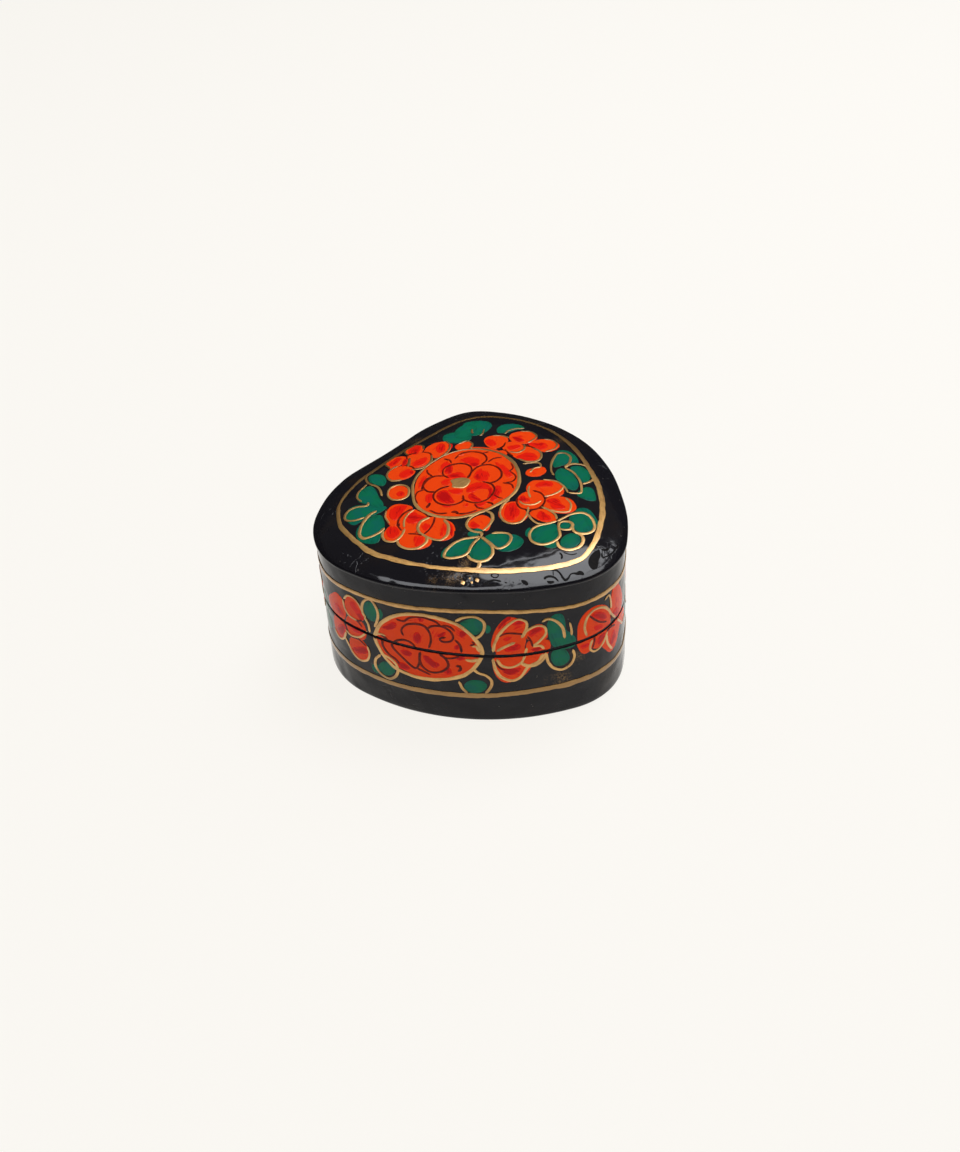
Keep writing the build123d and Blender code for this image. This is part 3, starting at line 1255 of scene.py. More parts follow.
# petals are a deep point, tone (or the tones of rim and deep point) and outline
crownPetals = [
    # rosette: the ground, the outer scallops, then the five inner petals
    ((2, 8), 0.14, [(-13.9, 8), (-13.4, 4.6), (-11.8, 1.4), (-9, -1.4), (-4.5, -3.3), (0, -4.1),
        (4.5, -4), (8.4, -2.4), (11.7, 0.4), (14.4, 4.1), (16.1, 9), (15.6, 13.4), (13, 17.2),
        (8.8, 19.2), (3.5, 19.9), (-1, 19.7), (-5.5, 18.2), (-9.3, 15.4), (-12.6, 11.8)]),
    ((-9.6, 10.4), 0.34, [(-12.6, 10.8), (-11.3, 13), (-9.3, 14), (-7.7, 13.2), (-7.6, 11.4),
        (-9.3, 9.4), (-11.5, 8.9)]),
    ((-10, 6.8), 0.16, [(-12.8, 8), (-13, 5.5), (-11.8, 3.2), (-10.3, 2.5), (-9.2, 4.5), (-9.6, 7.5),
        (-11, 8.7)]),
    ((-6, 1.6), 0.12, [(-10, 2.2), (-9.5, 0), (-7.5, -1.7), (-5.2, -2.4), (-4.5, 0.3), (-5.2, 3),
        (-7.4, 3.6), (-9.2, 3.7)]),
    ((-2, -1.5), 0.3, [(-5, -1.6), (-4.4, -3.1), (-2, -3.9), (0.6, -4), (0.9, -2), (-0.5, -0.9),
        (-3.3, -0.4)]),
    ((2.6, -1.3), 0.34, [(0.6, -2.5), (1, -3.9), (3.5, -4), (5.8, -3.4), (6.7, -1.5), (6, 0.4),
        (4.3, 1.4), (2.4, 0)]),
    ((8, 0.8), 0.22, [(6.3, -3), (8.5, -2.1), (10.5, -0.3), (11.9, 1.8), (10.8, 2.7), (8, 2.7),
        (5.6, 2.4), (5.2, 0.8)]),
    ((10.8, 5), 0.18, [(10.2, 2.5), (12.3, 2.1), (13.9, 4.5), (14.5, 7.5), (12.8, 9.1), (10.4, 8.9),
        (10, 6)]),
    ((11.6, 10.3), 0.12, [(10.6, 9.3), (13, 9), (14.8, 9.6), (14.2, 12.3), (12.6, 13.2), (11.8, 11.8)]),
    ((7.8, 12.2), 0.38, [(6.5, 13), (6.8, 16.3), (9.5, 16.9), (11.9, 14.9), (12.5, 12.4), (11, 10.3),
        (8.2, 9.7), (6.6, 11)]),
    ((7.4, 17.2), 0.12, [(5.3, 17), (6.8, 19), (9.5, 18.1), (12.1, 15.8), (11.6, 15.1), (9.2, 16.8),
        (6.8, 16.5), (5.6, 16)]),
    ((0.6, 16.8), 0.14, [(-2, 16.3), (-1.3, 18.9), (1.3, 19.7), (3.8, 19.3), (5.1, 18), (4.7, 16.3),
        (2.5, 15.8), (0, 15.3)]),
    ((-4.6, 16.6), 0.28, [(-8.4, 14.6), (-6.8, 16.7), (-4.4, 18.5), (-2.5, 18.9), (-2.2, 16.6),
        (-4, 16.1), (-6.5, 15), (-7.8, 13.9)]),
    ((1.2, 12.8), (0, 0.35), [(-0.4, 13), (0.1, 15), (2.3, 15.9), (4.5, 15.3), (6.4, 13.2), (6.1, 11),
        (3.8, 9.3), (1.8, 8.8), (0.2, 10.8)]),
    ((-2.6, 12.6), 0.18, [(-7.5, 12.5), (-6.5, 14.9), (-4.3, 15.7), (-2, 15.4), (-0.5, 13.6),
        (-0.5, 11.6), (-2, 10.4), (-4.5, 10.2), (-6.7, 11)]),
    ((-7, 7.6), (0, 0.35), [(-9.4, 8), (-8, 10.3), (-5.5, 10.9), (-3, 9.8), (-2, 7.8), (-3, 5.3),
        (-5.3, 3.4), (-7.4, 3.8), (-9.1, 5.6)]),
    ((-0.6, 4.2), (0, 0.35), [(-4.6, 3.8), (-3, 5.8), (-0.5, 7.2), (2.3, 6.2), (3.4, 4.6), (3.8, 2.7),
        (3, 0.9), (1, -0.4), (-1.6, -0.7), (-3.9, 0.4), (-4.6, 2)]),
    ((4.2, 6.6), (0, 0.35), [(2.2, 7.9), (4.8, 9.5), (8, 9.6), (10, 7.9), (9.8, 5), (8, 3), (5.5, 2.6),
        (3.6, 3.4), (2.4, 5.5)]),
    # left flower
    ((-16.6, 12.4), 0.3, [(-23, 9.8), (-21.5, 13), (-19, 15), (-16.5, 15.3), (-14.7, 13), (-14.6, 10.8),
        (-17.5, 10), (-20.5, 9)]),
    ((-24.2, 7.6), 0.38, [(-27.3, 6.8), (-26.9, 8.4), (-25.2, 9.7), (-22.8, 10), (-21.6, 8), (-22, 5.6),
        (-24, 4.9), (-26.5, 5)]),
    ((-23.4, 1), 0.22, [(-26.8, 3.4), (-25, 5.1), (-22.3, 4.8), (-20.6, 2), (-20.6, -0.6), (-22.5, -2.3),
        (-24.6, -1.9), (-26.5, 0.4)]),
    ((-17.4, 0.4), 0.18, [(-21.2, 2.2), (-20.5, 4.5), (-18, 5.4), (-15, 5.3), (-13.5, 3.3), (-13.3, 0.6),
        (-14.7, -2.3), (-17.3, -4.4), (-19.7, -3.7), (-20.9, -1)]),
    ((-14, -0.6), 0.48, [(-13.3, 0.6), (-13.5, -1.1), (-15.4, -3.3), (-15.9, -2.5), (-14.2, -0.4)]),
    ((-17.3, 7.5), 0.44, [(-22.6, 6.8), (-20.8, 9.2), (-18, 10.4), (-15, 10.3), (-14.5, 7.5),
        (-15.2, 4.9), (-18.5, 4.8), (-21.3, 3.8), (-22.9, 4.9)]),
    # front flower
    ((-2, -9.6), 0.38, [(-5.4, -10), (-4.8, -7.5), (-2.5, -5.8), (0.5, -5.5), (2.2, -6.8), (1.8, -9),
        (0.8, -11), (-0.6, -12.9), (-3, -13.1), (-4.9, -12)]),
    ((11.4, -7.4), 0.34, [(6.8, -6.5), (8.5, -4.8), (11, -4.4), (13, -6.5), (14.2, -9), (13.5, -12),
        (11, -13.9), (8.6, -12.5), (7.4, -10)]),
    ((1.8, -15.4), 0.38, [(-0.1, -13.5), (0.8, -12.2), (2.6, -12.6), (3.9, -14), (3.6, -17),
        (2.2, -19.2), (0.5, -18.4), (-0.3, -16)]),
    ((7.2, -14.4), 0.36, [(4.2, -14.2), (5.8, -12), (8.5, -12), (10.3, -14), (10.7, -17), (8.5, -20),
        (6.2, -19.7), (4.4, -17.3)]),
    ((3.8, -8.4), 0.34, [(0.8, -10), (1.5, -7.8), (3.5, -6.2), (6, -5.9), (7.9, -7.4), (8.1, -9.5),
        (6.6, -11.9), (4, -12.7), (1.8, -12.1)]),
    # right flower
    ((17.8, 14.6), 0.3, [(15.7, 13), (16.8, 16.1), (18.5, 17.1), (20.5, 16.1), (22.1, 13.5), (21, 11.6),
        (18, 11), (16.4, 11.4)]),
    ((22.9, 10.4), 0.42, [(21.2, 9.5), (21.8, 12.1), (23.8, 13.1), (26, 12.1), (27.7, 9.8), (27, 7.2),
        (25, 6.3), (22.6, 7)]),
    ((18.7, 2.8), 0.36, [(16.2, 5.6), (17, 7.6), (19.5, 7), (21.6, 6.5), (22, 3), (20.5, 0.4),
        (18.3, -0.1), (16.5, 2)]),
    ((24, 3.6), 0.3, [(22, 5.6), (24, 6.5), (26.5, 5.6), (28.1, 3), (27.5, 0.4), (25, -0.3), (22.7, 0.8),
        (21.9, 3)]),
    ((15.6, 9.3), 0.08, [(14.9, 10.5), (16.6, 10.2), (16.8, 8.3), (15, 7.9)]),
    ((19.7, 8.4), 0.32, [(16.9, 9), (17.8, 11), (20, 11.4), (21.8, 9.9), (21.4, 7), (19.2, 5.7),
        (17.1, 6.9)]),
    # back flower
    ((-5, 22), 0.34, [(-9.6, 23.5), (-8, 25.7), (-5, 26.1), (-2.6, 24.8), (-2, 22.5), (-3.4, 20.7),
        (-6, 20.2), (-8.6, 21.4)]),
    ((-3.4, 28.4), 0.3, [(-5.9, 26.8), (-5, 29.4), (-3, 30.6), (-0.8, 29.9), (0.4, 28), (-0.4, 26.2),
        (-3, 25.8)]),
    ((4, 28), 0.36, [(1.3, 27.3), (2, 29.6), (4, 30.5), (6, 29.6), (6.7, 28), (5.5, 26.2), (3.3, 25.6)]),
    ((7.8, 22.8), 0.36, [(4, 24.8), (6, 26.1), (9, 25.9), (11.1, 24), (10.9, 21.8), (8.5, 20.2),
        (5.5, 19.9), (3.6, 21.5)]),
    ((0.8, 23.2), 0.3, [(-2.6, 23.5), (-1.5, 25.9), (1, 27.4), (3.6, 26), (4.6, 23.5), (3, 21.2),
        (0, 20.7), (-2.1, 21.8)]),
    # buds
    ((-12, 18), 0.3, [(-15.2, 17.8), (-13.5, 20), (-11, 20.5), (-9.5, 18.8), (-10.2, 16.5),
        (-12.5, 15.3), (-14.5, 16)]),
    ((12.2, 18.9), 0.28, [(10.1, 19), (11, 20.7), (13, 20.3), (14.7, 19), (14.1, 17.5), (12, 16.9)]),
    ((-10.6, -5.4), 0.36, [(-12.4, -5), (-11, -3.5), (-8.6, -3.2), (-6.6, -4.2), (-6.6, -6.5),
        (-8.4, -8.2), (-10.8, -9.1), (-11.2, -7)]),
    ((14.2, -3), 0.38, [(12.1, -1.5), (13.8, -0.5), (15.8, -1.5), (17.3, -2.8), (16.4, -4.5), (14, -4.7),
        (12.4, -3.4)]),
]
# red and crimson laid over the petals: a patch is its tone and outline
crownPatches = [
    (0.95, [(0.4, 14.3), (3.1, 16.5), (4.6, 16.6), (3.8, 14.8), (1.3, 13.2)]),
    (0.85, [(-0.1, 13.5), (1.6, 13.1), (3.2, 12), (3.2, 10.6), (2.2, 9.1), (0.6, 10.9), (-0.6, 12.4)]),
    (0.65, [(3.3, 7.7), (5.6, 8.9), (7.7, 9), (7.6, 7), (6.4, 5), (4.4, 4.2), (3.2, 5.1), (3.1, 6.6)]),
    (0.95, [(3.4, 7.6), (5.3, 8.2), (5.4, 7), (3.8, 5.6), (3.2, 6.4)]),
    (0.75, [(-1.2, 6), (1.2, 6.3), (3, 5.3), (3.4, 2.7), (2.3, 1.4), (0.7, 3.2), (-1.3, 4), (-2.3, 4.7)]),
    (0.95, [(-3.1, 3.8), (-1.7, 3.9), (-1.9, 2.2), (-2.7, -0.5), (-3.8, 0.5), (-4, 2.2)]),
    (0.9, [(2.5, 2.5), (3.1, 1.8), (1.8, 0), (-0.3, -1.2), (-1.2, -0.7), (0.9, 0.5)]),
    (1.1, [(-8, 9.5), (-6.2, 10.4), (-4.4, 9.5), (-5.1, 7.7), (-6.2, 5.7), (-7.1, 4.2), (-8.4, 5.3),
        (-8.9, 7.3)]),
    (0.6, [(-4.2, 9.2), (-2.7, 7.9), (-1.9, 6.3), (-3.2, 5.5), (-4.7, 6.8), (-4.8, 7.9)]),
    (0.55, [(-2.7, 12.8), (-0.9, 12.8), (-0.1, 11.5), (-2, 10.5), (-3.2, 10.7), (-3.5, 11.7)]),
    (0.7, [(6.5, 15.6), (8.9, 15), (10.2, 13.6), (10.1, 11.6), (8, 10.7), (7.2, 12.2), (6.8, 14.2)]),
    (0.95, [(7.3, 12.7), (8.7, 12), (9.1, 10.7), (7.2, 10.3), (6.8, 11.6)]),
    (0.6, [(11.7, 8), (12.1, 6.1), (11.3, 2.8), (10.4, 0.6), (8.4, 1), (9.6, 3.6), (10.5, 6)]),
    (0.8, [(2.4, 0.6), (4.3, 1.2), (4.8, 0.1), (2.5, -1.6), (0.2, -2.6), (-1.6, -2.3)]),
    (0.6, [(0.6, 16.9), (2.7, 17.7), (4.8, 17.8), (4.2, 16.5), (1.7, 15.5), (-0.1, 14.9)]),
    (0.6, [(-6, 17.1), (-4, 17.9), (-2.6, 17.2), (-4.9, 15.7), (-7.4, 14.7), (-8.1, 15)]),
    (0.65, [(-10, 11.3), (-8.2, 12), (-7.1, 11), (-9.1, 9.5), (-11, 8.7), (-11, 10)]),
    (0.8, [(-9.4, 6.6), (-9, 5.1), (-7.7, 4), (-9.1, 4), (-10, 5.1)]),
    (0.55, [(-6.5, 2.2), (-5.3, 2.3), (-5.4, 1.3), (-6.5, 0.9), (-7.1, 1.3)]),
    (0.6, [(-5.1, 0.3), (-3.6, -0.6), (-1.8, -1.3), (-3.4, -2), (-5.1, -1.3)]),
    (0.75, [(-19.6, 13.9), (-17.7, 14.7), (-15.8, 13.9), (-14.8, 12.3), (-16.8, 11.6), (-19.1, 10.7),
        (-21, 10.6), (-20.9, 12.3)]),
    (0.8, [(-18.4, 9.8), (-16.5, 9.9), (-15.5, 9.3), (-15.8, 7.7), (-15.4, 5.9), (-16.7, 5.3),
        (-18.2, 6), (-19.8, 7.1), (-19.4, 8.5)]),
    (0.75, [(-25, 9.5), (-23, 9.9), (-22.5, 8.7), (-23.4, 6.6), (-25.1, 5.9), (-26.2, 6.1),
        (-26.4, 7.6)]),
    (0.6, [(-22.3, 2.8), (-21.4, 1.8), (-21.8, 0.2), (-23.9, -0.6), (-25.1, -0.1), (-23.9, 1.8)]),
    (0.55, [(-15.5, 0.9), (-14.5, 0.6), (-15.5, -1.1), (-17.5, -2.2), (-19, -2.2)]),
    (0.9, [(-13.7, 0.4), (-14, -1), (-15.5, -2.9), (-17.4, -4.2), (-16.6, -2.7), (-14.9, -1.2)]),
    (0.6, [(-18.7, 4.4), (-17, 4.1), (-17.4, 2.4), (-19.2, 1.9), (-19.5, 2.9)]),
    (0.75, [(2.1, 28.6), (4.3, 29.6), (6.1, 29.3), (6.3, 28), (4.3, 26.4), (2.3, 25.9), (1.6, 27.3)]),
    (0.85, [(7.5, 24), (9.7, 24.6), (10.1, 23.6), (8.6, 21.7), (6.9, 21), (6.1, 21.6), (6.5, 23)]),
    (0.95, [(10.8, 22.6), (11.3, 22), (9.9, 20.7), (9.2, 20.9)]),
    (0.75, [(-4.3, 29), (-2.6, 29.2), (-0.9, 29.1), (-0.7, 27.9), (-2.8, 27.2), (-4.4, 27),
        (-5.3, 27.6)]),
    (0.85, [(-2.3, 26.3), (-0.3, 27.1), (-0.1, 26.4), (-2.1, 25), (-3.8, 24.6)]),
    (0.65, [(-1.3, 24.2), (0.9, 23.9), (3, 23.1), (2.3, 21.8), (0.7, 21), (-0.8, 21.6), (-2, 22.5)]),
    (0.65, [(-6.6, 23.2), (-4.4, 23.6), (-3.2, 22.3), (-3.6, 21), (-5.3, 20.4), (-7.1, 21),
        (-7.5, 21.9)]),
    (0.95, [(-4.8, 21.9), (-3.7, 21.9), (-3.7, 20.8), (-5.1, 20.5)]),
    (0.6, [(17.1, 16.1), (18.6, 16), (18.8, 14.5), (18.4, 13.2), (16.6, 12.6), (16.2, 13.9)]),
    (0.95, [(22.8, 12), (23.6, 11.3), (23.8, 9.9), (23.4, 8.2), (21.9, 9), (22.1, 10.7)]),
    (0.7, [(18.6, 10), (19.9, 9.5), (21.1, 8.2), (20.7, 7.2), (18.9, 7.7), (17.9, 8.8)]),
    (0.75, [(23.2, 7.7), (23.7, 6.2), (24.6, 5), (25.8, 3.7), (24.8, 1.9), (22.6, 2.4), (22.2, 3.7),
        (22.3, 5.4)]),
    (0.95, [(23.2, 4.2), (25.3, 4.6), (25.5, 3.6), (23.7, 3.3)]),
    (0.7, [(16.5, 5.4), (18.5, 5), (20, 4.4), (20.2, 2.7), (19.8, 1), (17.9, 0.7), (16.8, 2.1),
        (16.4, 3.7)]),
    (0.75, [(-2.4, -7.1), (0.1, -6.1), (1.6, -6.7), (0.7, -8.5), (-0.1, -10), (-2.1, -11.1),
        (-4.1, -11.3), (-4.7, -9.9), (-3.9, -8.4)]),
    (0.75, [(10, -6.2), (11.8, -6.2), (13.2, -7.6), (13.4, -9), (12, -9.8), (11.1, -8.4), (9.8, -7.3)]),
    (0.9, [(3.1, -6.7), (5.2, -6.5), (4.8, -8), (4.5, -9.5), (3, -8.6), (2.5, -7.5)]),
    (0.8, [(6.8, -12.2), (8.3, -12.8), (9, -14.1), (8.2, -15.6), (7.3, -17.8), (5.9, -17.2),
        (5.3, -15.2), (6.2, -13.7)]),
    (0.8, [(0.8, -14.2), (2.9, -13.9), (2.7, -15.6), (2.5, -17.3), (1.1, -18.1), (0.1, -16.8),
        (0.1, -15.3)]),
    (0.8, [(-11.1, -4.1), (-9.8, -3.9), (-10.1, -5.4), (-10.4, -6.9), (-11.6, -6.4), (-12, -5.2)]),
    (0.75, [(-13, 18), (-11.5, 18.1), (-11.4, 16.6), (-12.4, 15.9), (-13.4, 16.6)]),
]
crownVeins = [
    (0.44, [(-0.4, 12.4), (-0.2, 14.4), (2, 16), (4.6, 15.4), (6.5, 13.4), (6.4, 11.2), (4.6, 9.6),
        (2.4, 8.9)]),
    (0.44, [(-6.6, 10.9), (-7.7, 12.5), (-6.8, 14.8), (-4.5, 15.8), (-2, 15.6), (-0.6, 14)]),
    (0.48, [(-2.8, 10), (-5.5, 11), (-8, 10.4), (-9.5, 8.2), (-9.2, 5.5), (-7.4, 3.7), (-5.3, 3.3),
        (-3.6, 4.8)]),
    (0.44, [(-4.8, 4.2), (-4.8, 2), (-4, 0.2), (-1.6, -0.9), (1, -0.5), (3.2, 0.8), (4, 2.8),
        (3.4, 4.8)]),
    (0.48, [(2.6, 8.6), (5, 9.7), (8, 9.8), (10.1, 8), (10, 5), (8.1, 2.8), (5.5, 2.4), (3.7, 3.2)]),
    (0.4, [(-2.3, 16), (-2, 17.8), (-1, 19.1)]),
    (0.4, [(5, 18.8), (5.4, 17.4), (4.6, 16)]),
    (0.44, [(6.6, 16.8), (9.6, 17), (12, 15), (12.6, 12.4), (11.1, 10.2), (8.7, 9.8)]),
    (0.35, [(12.8, 13), (14.1, 12.2)]),
    (0.35, [(10.4, 9.3), (12.7, 9.2), (14.3, 8)]),
    (0.4, [(13.7, 4.6), (12.3, 2.7), (10.5, 2.6)]),
    (0.4, [(10.9, 2.5), (10, -0.2), (8, -0.9), (6.4, 0.1)]),
    (0.4, [(6, 0.6), (6.8, -1.4), (5.8, -3)]),
    (0.35, [(1, -0.8), (0.8, -2.4), (1.2, -3.6)]),
    (0.48, [(-2.4, -1.6), (-1.9, -2.7), (-2.3, -3.6)]),
    (0.4, [(-4.6, 0.2), (-5.2, -1.4), (-4.6, -2.8)]),
    (0.7, [(-10.4, 2.4), (-9.7, 1.8), (-9.9, 0.6)]),
    (0.4, [(-9.9, 0.6), (-8.2, -1), (-6, -1.9)]),
    (0.4, [(-13, 7), (-12.7, 4.6), (-11.2, 2.9)]),
    (0.66, [(-12.8, 8.2), (-11.6, 8.5), (-10.7, 8.9)]),
    (0.4, [(-12.9, 11), (-11.4, 13.2), (-9.3, 14.3), (-7.7, 13.7)]),
    (0.4, [(-8.1, 14.1), (-6.4, 15.3), (-4.2, 16.3), (-2.5, 16.2)]),
    (0.44, [(-22.9, 6.6), (-21.8, 8.8), (-20, 10.2), (-17.5, 10.9), (-15, 10.6)]),
    (0.44, [(-20.8, 1.5), (-18.6, 1.8), (-16.5, 2.6), (-14.2, 4.1)]),
    (0.4, [(-14.7, 9.6), (-14.6, 7), (-15.2, 5)]),
    (0.4, [(-22.8, 4.6), (-21.8, 3.2), (-21.1, 1.4)]),
    (0.44, [(1.3, -11.4), (0.8, -9.4), (1.8, -7.4), (3.4, -6.2)]),
    (0.48, [(8, -7.2), (8.3, -9.4), (7, -11.8), (4.6, -12.9), (2.6, -12.6), (1.3, -11.4)]),
    (0.4, [(16, 11.4), (18, 10.9), (19.9, 11.6)]),
    (0.4, [(16.4, 6.2), (16.7, 8), (17.4, 9.8)]),
    (0.4, [(21.8, 7), (22.2, 5), (22, 2.6)]),
    (0.4, [(-3, 24.8), (-2.3, 22.8), (-3.2, 20.9)]),
    (0.4, [(4.2, 25.4), (4.7, 23.4), (3.4, 21.3)]),
    (0.4, [(-0.6, 26.2), (1, 27.6), (3.2, 26.3)]),
]
